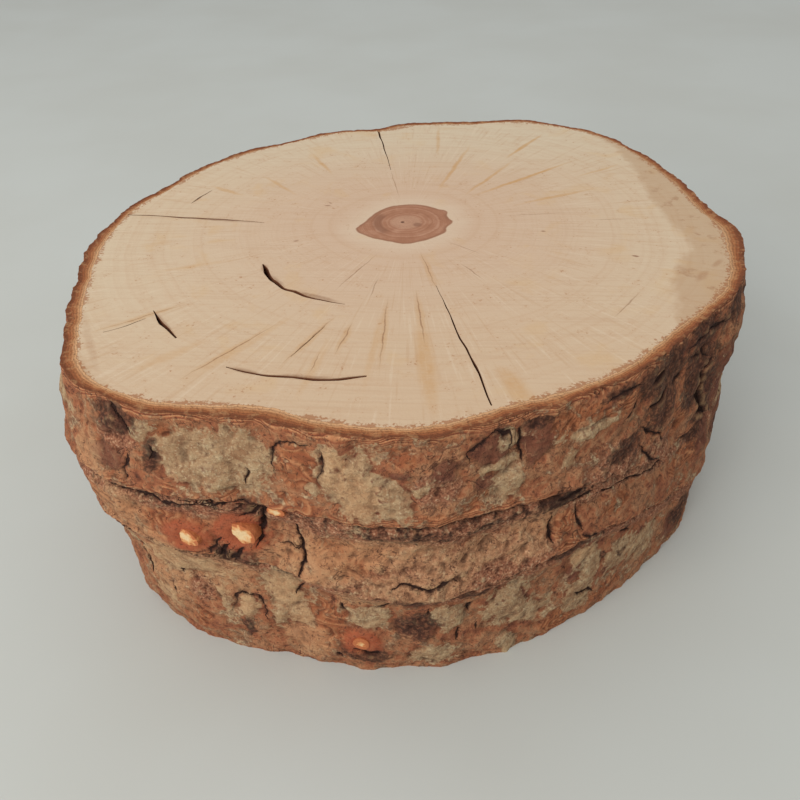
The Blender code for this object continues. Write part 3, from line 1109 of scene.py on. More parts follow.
    def lay_flat(self, mesh: bpy.types.Mesh, around: np.ndarray, along: np.ndarray) -> None:
        """Gives the sheet its map for baking, cut into strips that are stacked in the square.

        Args:
            mesh: The flat sheet.
            around: Each vertex's share of the turn round the trunk.
            along: Each vertex's share of the way round the cross-section.
        """
        corner = np.zeros(len(mesh.loops), np.int32)
        mesh.loops.foreach_get("vertex_index", corner)
        u, v = around[corner].reshape(-1, 4), along[corner].reshape(-1, 4)
        strip, margin = np.floor(u.mean(axis=1, keepdims=True) * self.strips), 0.006
        u = margin + (u * self.strips - strip) * (1 - 2 * margin)
        v = (strip + 2 * margin + v * (1 - 4 * margin)) / self.strips
        layer = mesh.uv_layers.new(name=BAKE_MAP)
        layer.data.foreach_set("uv", np.stack([u, v], axis=-1).astype(np.float32).ravel())


# --- Finishes

Socket = bpy.types.NodeSocket
Value = Socket | float


class Graph:
    """The nodes of one material, added one at a time, with its colour so far."""

    def __init__(self, name: str) -> None:
        """Starts a material.

        Args:
            name: The material's name.
        """
        self.material = bpy.data.materials.new(name)
        self.material.use_nodes = True
        self.tree = self.material.node_tree
        self.shader = self.tree.nodes["Principled BSDF"]
        self.place = self.add("ShaderNodeTexCoord").outputs["Object"]
        self.colour: object = linear("808080")

    def add(self, kind: str, **settings: object) -> bpy.types.Node:
        """Adds one node.

        Args:
            kind: The node's type.
            **settings: Its settings.

        Returns:
            The node.
        """
        node = self.tree.nodes.new(kind)
        for name, setting in settings.items():
            setattr(node, name, setting)
        return node

    def put(self, socket: Socket, value: object) -> None:
        """Links another socket to a socket, or sets its value.

        Args:
            socket: The socket that takes the value.
            value: The other socket, or the value.
        """
        if isinstance(value, bpy.types.NodeSocket):
            self.tree.links.new(value, socket)
        else:
            socket.default_value = value

    def math(self, operation: str, first: Value, second: Value = 0.0) -> Socket:
        """One sum on numbers.

        Args:
            operation: The sum.
            first: The first number.
            second: The second number.

        Returns:
            The result.
        """
        node = self.add("ShaderNodeMath", operation=operation)
        self.put(node.inputs[0], first)
        self.put(node.inputs[1], second)
        return node.outputs[0]

    def total(self, *parts: tuple[Value, float]) -> Socket:
        """Adds some values up.

        Args:
            *parts: The values, each with its weight.

        Returns:
            The sum.
        """
        result: Value = 0.0
        for value, weight in parts:
            node = self.add("ShaderNodeMath", operation="MULTIPLY_ADD")
            self.put(node.inputs[0], value)
            self.put(node.inputs[1], weight)
            self.put(node.inputs[2], result)
            result = node.outputs[0]
        return result

    def step(
        self, value: Value, low: float, high: float, bottom: float = 0.0, top: float = 1.0
    ) -> Socket:
        """A smooth step of a value.

        Args:
            value: The value.
            low: Where the step starts.
            high: Where it ends, which may be under its start.
            bottom: The result up to its start.
            top: The result past its end.

        Returns:
            The result.
        """
        node = self.add("ShaderNodeMapRange", interpolation_type="SMOOTHSTEP")
        names = ("Value", "From Min", "From Max", "To Min", "To Max")
        for name, setting in zip(names, (value, low, high, bottom, top)):
            self.put(node.inputs[name], setting)
        return node.outputs["Result"]

    def mix(self, share: Value, first: object, second: object, blend: str = "MIX") -> Socket:
        """Mixes two colours.

        Args:
            share: How much of the second one there is, from 0 to 1.
            first: The first colour.
            second: The second colour, which may be six hexadecimal digits.
            blend: How they are mixed.

        Returns:
            The mixed colour.
        """
        node = self.add("ShaderNodeMix", data_type="RGBA", blend_type=blend)
        self.put(node.inputs["Factor"], share)
        self.put(node.inputs["A"], first)
        self.put(node.inputs["B"], linear(second) if isinstance(second, str) else second)
        return node.outputs["Result"]

    def lay(self, share: Value, colour: Socket | str, blend: str = "MIX") -> None:
        """Lays a colour, or six hexadecimal digits of one, over the colour so far."""
        self.colour = self.mix(share, self.colour, colour, blend)

    def ramp(self, value: Value, codes: tuple[str, ...], low: float, high: float) -> Socket:
        """A colour read from a ramp of evenly spaced colours.

        Args:
            value: Where it is read.
            codes: The colours, as six hexadecimal digits each.
            low: Where the first colour is.
            high: Where the last one is; a ramp ends at 1.

        Returns:
            The colour.
        """
        node = self.add("ShaderNodeValToRGB")
        elements = node.color_ramp.elements
        while len(elements) < len(codes):
            elements.new(0.5)
        for index, (element, code) in enumerate(zip(elements, codes)):
            element.position = low + (high - low) * index / (len(codes) - 1)
            element.color = linear(code)
        self.put(node.inputs["Fac"], value)
        return node.outputs["Color"]

    def noise(
        self, length: float, detail: float = 2.0, twist: float = 0.0, place: Socket | None = None
    ) -> Socket:
        """Noise over the piece.

        Args:
            length: The size of its lumps, in millimetres.
            detail: How many finer layers it has.
            twist: How far it is distorted.
            place: Where it is read, if not at the place on the piece.

        Returns:
            A value from 0 to 1, mostly near 0.5.
        """
        node = self.add("ShaderNodeTexNoise")
        self.put(node.inputs["Vector"], place or self.place)
        self.put(node.inputs["Scale"], 1000 / length)
        self.put(node.inputs["Detail"], detail)
        self.put(node.inputs["Distortion"], twist)
        return node.outputs["Fac"]

    def read(self, name: str) -> Socket:
        """The mesh's own value of a map."""
        return self.add("ShaderNodeAttribute", attribute_name=name).outputs["Fac"]

    def relief(self, *layers: tuple[Value, float]) -> None:
        """Gives the surface fine relief.

        Args:
            *layers: Values from 0 to 1, each with its height in millimetres.
        """
        height = self.total(*layers)
        node = self.add("ShaderNodeBump")
        self.put(node.inputs["Height"], height)
        self.put(node.inputs["Distance"], MM)
        self.put(node.inputs["Strength"], 1.0)
        self.put(self.shader.inputs["Normal"], node.outputs["Normal"])

    def finish(self, roughness: Value, specular: float) -> bpy.types.Material:
        """Ends the material with the colour so far.

        Args:
            roughness: Its roughness.
            specular: Its specular level.

        Returns:
            The material.
        """
        self.put(self.shader.inputs["Base Color"], self.colour)
        self.put(self.shader.inputs["Roughness"], roughness)
        self.shader.inputs["Specular IOR Level"].default_value = specular
        return self.material


class BarkFinish:
    """Rough bark: brown, with lichen, thin orange layers, dark plates and crumbly bands."""

    base = ("5f3d2f", "82513b", "9d6748", "a97e5c", "935c41", "b68c68")
    lichen = ("8c7054", "a48a69", "b09a78", "c6b692")
    lichen_spots = ("80624b", "8f6a4c", "d3c6a6")
    lichen_edge = "5d3c2d"
    layers = ("6e4130", "985a3e", "b27a54", "cb9a70", "9a5c3e")
    soft_layers = "98603f"
    plate = ("54342b", "6d4335", "835440")
    plate_edge = "44291f"
    crumbs = ("553428", "7e513e", "996a50", "ab8064", "cfad8e")
    pale = "c9a278"
    veins = ((16, 0.5, 0.012, "452b22"), (9, 0.43, 0.016, "52352a"), (26, 0.57, 0.012, "b98f6a"))
    shade_mottle = ("2f1f1a", "4a3026", "76503b")
    halo = "a1573a"
    recess_shade = ("a09290", "fcf1ec", "ffffff")
    ridge_tan = "bb9468"
    speck = "472c22"
    # Near-black painted shade, laid in the hollows and in the splits' lines
    crevice_shade = "301d17"
    rim = ("7a462c", "965836", "a86a42", "b87f54", "d0a277")
    rim_lines = ("6b4228", "bb8c60", "633b26")
    roughness = 0.92
    specular = 0.2

    def __init__(self) -> None:
        """Starts the material, with the noises that its layers share and its plain brown."""
        self.g = g = Graph("bark")
        self.fine, self.small = g.noise(1.1, 2), g.noise(3.4, 3, 0.3)
        self.middle, self.wide = g.noise(10, 4, 0.8), g.noise(36, 4, 0.4)
        self.crumb = g.noise(1.9, 3)
        shade = g.total((self.middle, 0.65), (self.small, 0.35), (self.wide, 0.35), (self.fine, 0.15))
        g.colour = g.ramp(shade, self.base, 0.5, 0.98)

    def material(self) -> bpy.types.Material:
        """Lays every layer, from the oldest bark to the saw cut.

        Returns:
            The material.
        """
        g = self.g
        contour, grain = self.lay_thin_layers(), self.lay_crumbs()
        self.lay_plates()
        lichen = self.lay_lichen()
        pale = ((g.read("pale"), 1.0), (self.middle, 0.8), (self.small, 0.6), (self.fine, 0.4))
        g.lay(g.step(g.total(*pale), 1.05, 1.65, 0.0, 0.4), self.pale)
        bare = g.step(lichen, 1.2, 1.5, 1.0, 0.3)
        for (length, level, width, code), share in zip(self.veins, (bare, bare, 0.6)):
            g.lay(g.math("MULTIPLY", self.vein(length, level, width), share), code)
        # Dark mottling: partly the bark's own, partly painted shade on the right side away from the lamp,
        # in folds and round the creases
        shade = ((g.read("shade"), 1.0), (self.middle, 1.3), (self.small, 1.2), (self.crumb, 1.0))
        shade_mottle = g.ramp(self.crumb, self.shade_mottle, 0.4, 0.64)
        g.lay(g.step(g.total(*shade), 1.85, 2.3, 0.0, 0.86), shade_mottle)
        halo = g.total((g.read("halo"), 1.0), (self.small, 0.9), (self.middle, 0.6), (self.fine, 0.2))
        g.lay(g.step(halo, 0.95, 1.5, 0.0, 0.92), self.halo)
        # Painted shade: the "worn" map's dips are darkened by multiplying, and its ridges get a lighter tan
        worn = g.read("worn")
        g.lay(1.0, g.ramp(worn, self.recess_shade, 0.1, 0.9), "MULTIPLY")
        g.lay(g.step(worn, 0.6, 1.0, 0.0, 0.3), self.ridge_tan)
        specks = g.step(g.noise(1.6, 2, 0.5), 0.32, 0.42, 0.6, 0.0)
        g.lay(g.math("MULTIPLY", specks, bare), self.speck)
        line = self.lay_splits()
        g.lay(g.read("cut"), self.sawn_rim())
        relief = ((self.fine, 0.4), (self.small, 0.8), (contour, 0.15), (lichen, 0.25), (grain, 0.2))
        g.relief(*relief, (line, -0.9))
        return g.finish(g.total((g.step(halo, 1.2, 1.7), -0.15), (self.roughness, 1.0)), self.specular)

    def lay_thin_layers(self) -> Socket:
        """Lays the orange layers, whose edges wander like contour lines.

        Returns:
            Where each place is within its layer, from 0 to 1.
        """
        g, small, middle = self.g, self.small, self.middle
        ochre = g.total((g.read("ochre"), 1.0), (small, 0.5), (middle, 0.9))
        contour = g.total((g.read("strata"), 1.0), (middle, 0.5), (small, 0.2))
        contour = g.math("FRACT", contour)
        thin = g.step(g.read("banded"), 0.2, 0.8, 1.0, 0.1)
        soft = g.step(g.total((self.wide, 0.5), (small, 0.5)), 0.4, 0.6, 0.45, 0.85)
        soft = g.math("MULTIPLY", soft, thin)
        layered = g.mix(soft, g.ramp(contour, self.layers, 0.0, 0.98), self.soft_layers)
        g.lay(g.step(ochre, 0.95, 1.3), layered)
        return contour

    def lay_crumbs(self) -> Socket:
        """Lays the crumbly bands.

        Returns:
            How crumbly each place is, from 0 to 1.
        """
        g = self.g
        grain = g.total((g.read("grain"), 1.0), (self.small, 0.6), (self.middle, 0.7))
        grain = g.step(grain, 0.85, 1.25)
        crumbs = g.total((self.fine, 0.75), (g.noise(2.1, 2), 0.35), (self.wide, 0.12))
        g.lay(g.math("MULTIPLY", grain, 0.85), g.ramp(crumbs, self.crumbs, 0.42, 0.8))
        return grain

    def lay_plates(self) -> None:
        """Lays the dark plates, with their darker edges."""
        g = self.g
        plate = g.total((g.read("dark"), 1.0), (self.small, 0.6), (self.middle, 0.6))
        edge = g.math("SUBTRACT", g.step(plate, 0.82, 0.92), g.step(plate, 0.94, 1.1))
        dull = g.ramp(g.total((self.middle, 0.5), (self.small, 0.5)), self.plate, 0.36, 0.64)
        g.lay(g.step(plate, 0.9, 1.15, 0.0, 0.8), dull)
        g.lay(g.math("MULTIPLY", edge, 0.45), self.plate_edge)

    def lay_lichen(self) -> Socket:
        """Lays the lichen.

        Returns:
            The lichen's strength, over about 1.3 where it shows.
        """
        g, small, middle, fine = self.g, self.small, self.middle, self.fine
        lichen = g.total((g.read("lichen"), 1.0), (small, 0.8), (middle, 1.3), (fine, 0.25))
        crust = g.ramp(g.total((small, 0.35), (fine, 0.2), (middle, 0.6)), self.lichen, 0.44, 0.74)
        spots = (
            g.step(g.noise(2.6, 2), 0.58, 0.68, 0.0, 0.5),
            g.step(g.noise(5.5, 4, 1.0), 0.54, 0.64, 0.0, 0.5),
            g.step(fine, 0.58, 0.7, 0.0, 0.4),
        )
        for spot, code in zip(spots, self.lichen_spots):
            crust = g.mix(spot, crust, code)
        g.lay(g.step(lichen, 1.25, 1.5, 0.0, 0.92), crust)
        edge = g.math("SUBTRACT", g.step(lichen, 1.2, 1.28), g.step(lichen, 1.3, 1.4))
        g.lay(g.math("MULTIPLY", edge, 0.3), self.lichen_edge)
        return lichen

    def lay_splits(self) -> Socket:
        """Paints shade into the hollows, under the lips and round the splits, and draws the splits' crisp
        lines in painted shade.

        Returns:
            How surely each place is in a split, from 0 to 1.
        """
        g, small = self.g, self.small
        hollow = ((g.read("hollow"), 1.0), (small, 0.6), (self.middle, 0.3), (self.crumb, 0.7))
        g.lay(g.step(g.total(*hollow), 0.98, 1.42), self.crevice_shade)
        # The splits' crisp lines, in near-black painted shade
        away = g.total((g.read("split"), 1.0), (small, 2.0), (self.fine, 0.8), (-1.4, 1.0))
        gape = g.math("MAXIMUM", g.read("gape"), 0.04)
        line = g.step(g.math("DIVIDE", g.math("ABSOLUTE", away), gape), 1.15, 0.5)
        g.lay(g.math("MULTIPLY", line, 0.94), self.crevice_shade)
        return line

    def vein(self, length: float, level: float, width: float) -> Socket:
        """Thin broken lines that wander over the bark.

        Args:
            length: About how far apart they are, in millimetres.
            level: The value of the noise that they follow.
            width: How far from that value they reach.

        Returns:
            Their strength, from 0 to 0.8.
        """
        g = self.g
        away = g.math("ABSOLUTE", g.math("SUBTRACT", g.noise(length, 4, 1.2), level))
        broken = g.step(g.noise(length * 0.7, 2), 0.46, 0.6, 0.0, 0.8)
        return g.math("MULTIPLY", g.step(away, width, width * 0.3), broken)

    def sawn_rim(self) -> Socket:
        """The colour where the saw went through the bark: thin layers beside the rim.

        Returns:
            The colour.
        """
        g = self.g
        across = g.total((g.read("sawn"), 1.0), (g.noise(12, 3), 0.28), (-0.14, 1.0))
        layers = g.math("PINGPONG", g.total((across, 4.5), (self.small, 0.7)), 0.5)
        shares = (
            g.step(layers, 0.1, 0.4, 0.4, 0.0),
            g.step(self.small, 0.5, 0.7, 0.0, 0.5),
            g.step(self.fine, 0.56, 0.7, 0.0, 0.5),
        )
        colour = g.ramp(across, self.rim, 0.05, 0.85)
        for share, code in zip(shares, self.rim_lines):
            colour = g.mix(share, colour, code)
        return colour


class Stain(Enum):
    """What colours the sawn wood in a spot or a streak."""

    OCHRE = "c4904e"
    TAN = "a87c5a"
    RED_BROWN = "7c4228"
    SPLIT = "80502f"


@dataclass(frozen=True)
class Streak:
    """A long thin mark on the sawn wood, from one (azimuth, distance) to another."""

    start: Place
    end: Place
    width: float
    strength: float
    stain: Stain


def streaks(stain: Stain, *rows: tuple[Place, Place, float, float]) -> tuple[Streak, ...]:
    """Streaks of one stain, from rows of start, end, width and strength."""
    return tuple(Streak(*row, stain) for row in rows)


# What shows on the top cut: (azimuth and distance of each end, width, strength)
STREAKS = (
    *streaks(
        Stain.OCHRE, ((68, 138), (62, 37), 4.2, 0.55), ((53, 174), (53, 112), 4.6, 0.72),
        ((50, 121), (41, 44), 3.8, 0.55), ((36.5, 147), (38, 47), 4.4, 0.70),
        ((18, 132), (15, 64), 4.6, 0.45), ((119, 130), (122, 86), 4.2, 0.5),
        ((140, 122), (148, 77), 3.8, 0.4), ((153, 143), (156, 109), 5.7, 0.42),
        ((80, 168), (76, 100), 4.0, 0.4), ((28, 168), (27, 120), 3.6, 0.36),
        ((272, 188), (272, 96), 12.0, 0.45), ((236, 190), (240, 110), 8.0, 0.28),
        ((228, 196), (231, 150), 9.0, 0.26), ((253, 178), (252, 120), 7.0, 0.24),
        ((262, 170), (262, 90), 6.0, 0.28), ((200, 150), (203, 100), 6.0, 0.22),
        ((284, 150), (285, 186), 13.0, 0.42),
    ),
    *streaks(
        Stain.TAN, ((205, 186), (228, 206), 6.0, 0.28), ((331, 166), (336, 170), 6.0, 0.6),
        ((337, 172), (341, 176), 5.0, 0.5),
    ),
    *streaks(
        Stain.RED_BROWN, ((155, 135), (165, 138), 1.3, 0.75), ((337, 130.6), (337, 133.4), 2.4, 0.8),
        ((347, 79), (347, 81), 2.0, 0.7), ((150, 53), (151.5, 56), 2.0, 0.7),
        ((147, 54), (146.5, 56), 1.8, 0.6), ((197, 65), (197, 67.4), 2.2, 0.7),
    ),
    *streaks(
        Stain.SPLIT, ((323, 145), (310, 148), 1.0, 0.55), ((215, 192), (217, 138), 0.8, 0.65),
        ((250, 106), (247, 155), 1.2, 0.70), ((255, 109), (255, 141), 1.1, 0.60),
        ((262, 82), (264, 153), 1.1, 0.60), ((272, 76), (272.4, 134), 1.1, 0.65),
        ((239, 119), (235, 188), 1.1, 0.62), ((252, 138), (252.5, 155), 1.0, 0.6),
        ((247, 38), (243, 90), 1.0, 0.55), ((256, 65), (256.4, 89), 0.9, 0.5),
        ((310, 33), (313, 60), 1.0, 0.5), ((298, 58), (298.4, 82), 0.9, 0.5),
        ((4, 52), (3, 100), 0.9, 0.45), ((357, 104), (357.4, 134), 0.9, 0.45),
        ((280, 36), (280, 82), 0.8, 0.6), ((95.5, 30), (95.6, 84), 0.9, 0.45),
    ),
)


@dataclass(frozen=True)
class Crack:
    """A drying crack in the top cut: a path of (azimuth, distance, width), and its depth."""

    path: tuple[tuple[float, float, float], ...]
    depth: float


CRACKS = (
    Crack(((95.6, 80, 0.3), (95.8, 120, 0.7), (96, 150, 1.3), (96, 172, 2.6)), 26),
    Crack(((176, 84, 0.8), (173.3, 110, 1.4), (172.6, 140, 1.8), (172, 171, 1.3)), 14),
    Crack(
        ((280, 76, 0.25), (280.2, 101, 0.6), (279.9, 126, 0.9), (280.3, 150, 1.3), (280, 178, 0.6)), 14
    ),
    Crack(
        ((210, 91, 0.7), (213, 92, 2.0), (216, 94, 3.2), (221, 96, 3.0), (229, 97.5, 2.4),
         (240, 97, 1.3), (250, 96, 0.6)), 16),
    Crack(
        ((239, 164, 0.8), (242, 163.3, 1.3), (246, 162.5, 1.7), (254, 159, 2.0), (258, 156.6, 2.2),
         (262, 153.5, 1.3)), 14),
    Crack(((215, 157, 0.6), (220, 159.5, 1.9), (226, 161, 0.9)), 8),
    Crack(((216.2, 184, 0.5), (216.8, 172, 0.8), (216.6, 163, 0.5)), 4),
    Crack(((155.5, 135.2, 0.4), (160, 136.8, 1.0), (164.4, 138, 0.4)), 4),
    Crack(((249.2, 118, 0.2), (248, 134, 0.5), (247.4, 146, 0.2)), 3),
)

# The ochre that soaks into the wood beside the stronger splits
SPLIT_HALOS = tuple(
    Streak(one.start, one.end, 6.0, 0.34, Stain.OCHRE)
    for one in STREAKS
    if one.stain is Stain.SPLIT and one.strength >= 0.6
)


def crack_fringes() -> tuple[Streak, ...]:
    """The brown fringe of the curved drying cracks.

    Returns:
        A streak for each of their stretches.
    """
    return tuple(
        Streak(first[:2], second[:2], max(first[2], second[2]) + 2.6, 0.55, Stain.SPLIT)
        for crack in (CRACKS[1], *CRACKS[3:6])
        for first, second in zip(crack.path[::2], crack.path[2::2])
    )


class WoodFinish:
    """Pale sawn end grain: faint rings and rays, saw marks, stains and a brown core."""

    rosy, pale, straw = "d0b296", "d3bb9d", "d4c0a2"
    front, back = "cba887", "d4c5aa"
    rings, broad_rings, saw_marks = "c09a78", "c7a27e", "bd9877"
    dark_rays, light_rays = "bf9974", "dfcbb0"
    mottle, honey = "c49d79", "d0aa78"
    sapwood, sapwood_spots, rim_crumbs = "ad845c", "96694a", "a2683f"
    # Dark brown painted shade for the crack walls
    inside = "74452b"
    core = ("bb8c70", "a87558", "9c6a4e")
    core_halo, core_middle, core_rim = "dcc8ae", "c39a7e", "8f6248"
    dark_core, pith = "80553f", "5a3826"
    core_edge = (
        (13, 25.3), (28, 28), (39, 25.7), (60, 25), (73, 25), (95, 24), (112, 23.9), (139, 22.5),
        (168, 23.4), (187, 27.8), (195, 30.3), (216, 28.3), (246, 26.3), (270, 27.7), (287, 26.5),
        (315, 26.3), (327, 26.7), (338, 25.1), (357, 27.4),
    )
    core_scale = 40.0
    sapwood_edge = (
        (8, 152), (18, 160), (28, 171), (38, 184), (60, 196), (90, 176), (120, 172), (180, 176),
        (200, 184), (215, 199), (235, 206), (262, 196), (290, 186), (312, 178), (322, 164), (332, 156),
        (345, 160), (356, 152),
    )
    sapwood_scale = 240.0
    roughness = 0.78
    specular = 0.3

    def __init__(self, trunk: Trunk) -> None:
        """Starts the material, and works out where each place is about the pith.

        Args:
            trunk: The trunk.
        """
        self.g = g = Graph("sawn_wood")
        centred = g.add("ShaderNodeMapping", vector_type="TEXTURE")
        g.put(centred.inputs["Vector"], g.place)
        centred.inputs["Location"].default_value = (trunk.pith[0] * MM, trunk.pith[1] * MM, 0)
        centred.inputs["Scale"].default_value = (MM, MM, MM)
        self.place = centred.outputs[0]
        parts = g.add("ShaderNodeSeparateXYZ")
        g.put(parts.inputs[0], self.place)
        self.x, self.y, self.height = parts.outputs
        self.distance = self.away_from(0.0, 0.0)
        turn = g.math("DIVIDE", g.math("ARCTAN2", self.y, self.x), math.tau)
        self.turn = g.math("FRACT", g.math("ADD", turn, 1.0))
        self.fine, self.small, self.wide = g.noise(1.2, 2), g.noise(6, 3), g.noise(48, 3)

    def material(self) -> bpy.types.Material:
        """Lays every layer, from the plain wood to the painted shade on the insides of the cracks.

        Returns:
            The material.
        """
        g = self.g
        self.lay_ground()
        rings, saw = self.lay_lines()
        mottle = g.total((self.small, 0.6), (self.fine, 0.4))
        g.lay(g.step(mottle, 0.5, 0.66, 0.0, 0.22), self.mottle)
        g.lay(g.step(g.noise(22, 3, 0.5), 0.55, 0.75, 0.0, 0.35), self.honey)
        self.lay_sapwood()
        self.lay_stains()
        self.lay_core()
        # Painted shade: the crack walls and the hidden side, from just under the top cut down, in dark
        # brown
        inside = g.math("MULTIPLY", g.step(self.height, 164.97, 164.4), g.step(self.height, 10, 30))
        g.lay(inside, self.inside)
        g.relief((saw, 0.10), (self.fine, 0.08), (rings, 0.05))
        return g.finish(self.roughness, self.specular)

    def away_from(self, x: float, y: float) -> Socket:
        """How far each place is from one beside the pith, in millimetres.

        Args:
            x: How far the one is to the right of the pith.
            y: How far it is behind the pith.

        Returns:
            The distance.
        """
        g = self.g
        right, back = g.math("SUBTRACT", self.x, x), g.math("SUBTRACT", self.y, y)
        square = g.math("ADD", g.math("MULTIPLY", right, right), g.math("MULTIPLY", back, back))
        return g.math("SQRT", square)

    def streak(self, place: Socket, streak: Streak) -> Socket:
        """How strongly a streak shows.

        Args:
            place: The place about the pith, in millimetres.
            streak: The streak.

        Returns:
            The strength, from 0 to 1.
        """
        g = self.g
        ends = [
            Vector((distance * math.cos(math.radians(turn)), distance * math.sin(math.radians(turn)), 0))
            for turn, distance in (streak.start, streak.end)
        ]
        along = ends[1] - ends[0]
        node = g.add("ShaderNodeMapping", vector_type="TEXTURE")
        g.put(node.inputs["Vector"], place)
        node.inputs["Location"].default_value = (ends[0] + ends[1]) / 2
        node.inputs["Rotation"].default_value = (0, 0, math.atan2(along.y, along.x))
        node.inputs["Scale"].default_value = (along.length / 2 + 1, streak.width / 2, 1e6)
        away = g.add("ShaderNodeVectorMath", operation="LENGTH")
        g.put(away.inputs[0], node.outputs[0])
        return g.step(away.outputs["Value"], 1.0, 0.25, 0.0, streak.strength)

    def past(self, outline: tuple[Place, ...], scale: float) -> Socket:
        """How far each place is outside an outline, in millimetres.

        Args:
            outline: The outline's (azimuth, distance) points.
            scale: A length that no distance passes.

        Returns:
            The distance, which is negative inside the outline.
        """
        g = self.g
        curve = g.add("ShaderNodeFloatCurve")
        points = curve.mapping.curves[0].points
        first, last = outline[0], outline[-1]
        share = (FULL_TURN - last[0]) / (FULL_TURN - last[0] + first[0])
        seam = last[1] + (first[1] - last[1]) * share
        points[0].location = (0, seam / scale)
        points[1].location = (1, seam / scale)
        for azimuth, distance in outline:
            points.new(azimuth / FULL_TURN, distance / scale)
        curve.mapping.update()
        g.put(curve.inputs["Value"], self.turn)
        return g.math("SUBTRACT", self.distance, g.math("MULTIPLY", curve.outputs[0], scale))

    def stretched(self, x: Value, y: Value, z: Value, detail: float = 2.0) -> Socket:
        """Noise over three coordinates of one's own.

        Args:
            x: The first coordinate.
            y: The second one.
            z: The third one.
            detail: How many finer layers it has.

        Returns:
            A value from 0 to 1, mostly near 0.5.
        """
        joined = self.g.add("ShaderNodeCombineXYZ")
        for socket, value in zip(joined.inputs, (x, y, z)):
            self.g.put(socket, value)
        return self.g.noise(1000, detail, 0.0, joined.outputs[0])

    def lay_ground(self) -> None:
        """Lays the plain wood, whose tint drifts outwards and from the front to the back."""
        g = self.g
        far = g.math("MULTIPLY", g.math("SUBTRACT", self.wide, 0.5), 40.0)
        far = g.math("ADD", self.distance, far)
        g.colour = g.mix(g.step(far, 40, 150), linear(self.rosy), self.pale)
        g.lay(g.step(far, 120, 200, 0.0, 0.8), self.straw)
        g.lay(g.step(self.y, -40, -190, 0.0, 0.5), self.front)
        g.lay(g.step(self.y, 40, 160, 0.0, 0.6), self.back)

    def lay_lines(self) -> tuple[Socket, Socket]:
        """Lays the yearly rings, the rays and the saw marks.

        Returns:
            The rings and the saw marks, from 0 to 1.
        """
        g = self.g
        wavy = g.math("ADD", self.distance, g.math("MULTIPLY", g.noise(60, 2), 9.0))
        drift = g.math("MULTIPLY", self.wide, 0.4)
        rings = self.stretched(g.math("DIVIDE", wavy, 2.6), 0.0, drift, 3)
        g.lay(g.step(rings, 0.48, 0.66, 0.0, 0.16), self.rings)
        broad = self.stretched(g.math("DIVIDE", wavy, 11), 0.0, 4.0)
        g.lay(g.step(broad, 0.45, 0.62, 0.0, 0.1), self.broad_rings)
        rays = self.stretched(g.math("MULTIPLY", self.turn, 420), g.math("DIVIDE", self.distance, 42), 0.0)
        g.lay(g.step(rays, 0.56, 0.72, 0.0, 0.32), self.dark_rays)
        g.lay(g.step(rays, 0.42, 0.3, 0.0, 0.3), self.light_rays)
        strokes = g.math("DIVIDE", g.total((self.x, 0.1), (self.y, 1.0), (self.small, 1.5)), 1.5)
        saw = self.stretched(strokes, g.math("DIVIDE", self.x, 60), 0.0, 1)
        g.lay(g.step(saw, 0.5, 0.7, 0.0, 0.2), self.saw_marks)
        return rings, saw

    def lay_sapwood(self) -> None:
        """Lays the browner sapwood, and the orange crumbs beside the bark."""
        g, small = self.g, self.small
        beyond = self.past(self.sapwood_edge, self.sapwood_scale)
        beyond = g.total((beyond, 1.0), (small, 9.0), (self.wide, 8.0), (-8.5, 1.0))
        g.lay(g.step(beyond, -4.0, 3.0, 0.0, 0.42), self.sapwood)
        spots = g.math("MULTIPLY", g.step(beyond, 0, 8), g.step(small, 0.58, 0.7, 0.0, 0.3))
        g.lay(spots, self.sapwood_spots)
        bark = tuple((float(a), float(RIM.at(a) - BARK.at(a))) for a in np.arange(5.0, FULL_TURN, 10.0))
        beside = g.step(self.past(bark, self.sapwood_scale), -4.5, 0.5)
        crumbs = g.total((self.fine, 0.8), (small, 0.5), (beside, 0.28))
        g.lay(g.step(crumbs, 0.82, 0.94, 0.0, 0.75), self.rim_crumbs)

    def lay_stains(self) -> None:
        """Lays every streak, slightly wavy and patchy."""
        g, sway = self.g, 2.4
        bent = g.add("ShaderNodeVectorMath", operation="MULTIPLY_ADD")
        bends = g.add("ShaderNodeTexNoise")
        g.put(bends.inputs["Vector"], g.place)
        g.put(bends.inputs["Scale"], 110.0)
        g.put(bent.inputs[0], bends.outputs["Color"])
        bent.inputs[1].default_value = (sway, sway, 0)
        offset = g.add("ShaderNodeVectorMath", operation="SUBTRACT")
        g.put(offset.inputs[0], self.place)
        offset.inputs[1].default_value = (sway / 2, sway / 2, 0)
        g.put(bent.inputs[2], offset.outputs[0])
        patchy = g.step(g.total((self.small, 0.6), (self.fine, 0.4)), 0.25, 0.6, 0.55, 1.0)
        for stain in Stain:
            shows: Value = 0.0
            for streak in STREAKS + SPLIT_HALOS + crack_fringes():
                if streak.stain is stain:
                    shows = g.math("MAXIMUM", shows, self.streak(bent.outputs[0], streak))
            g.lay(g.math("MULTIPLY", shows, patchy), stain.value)

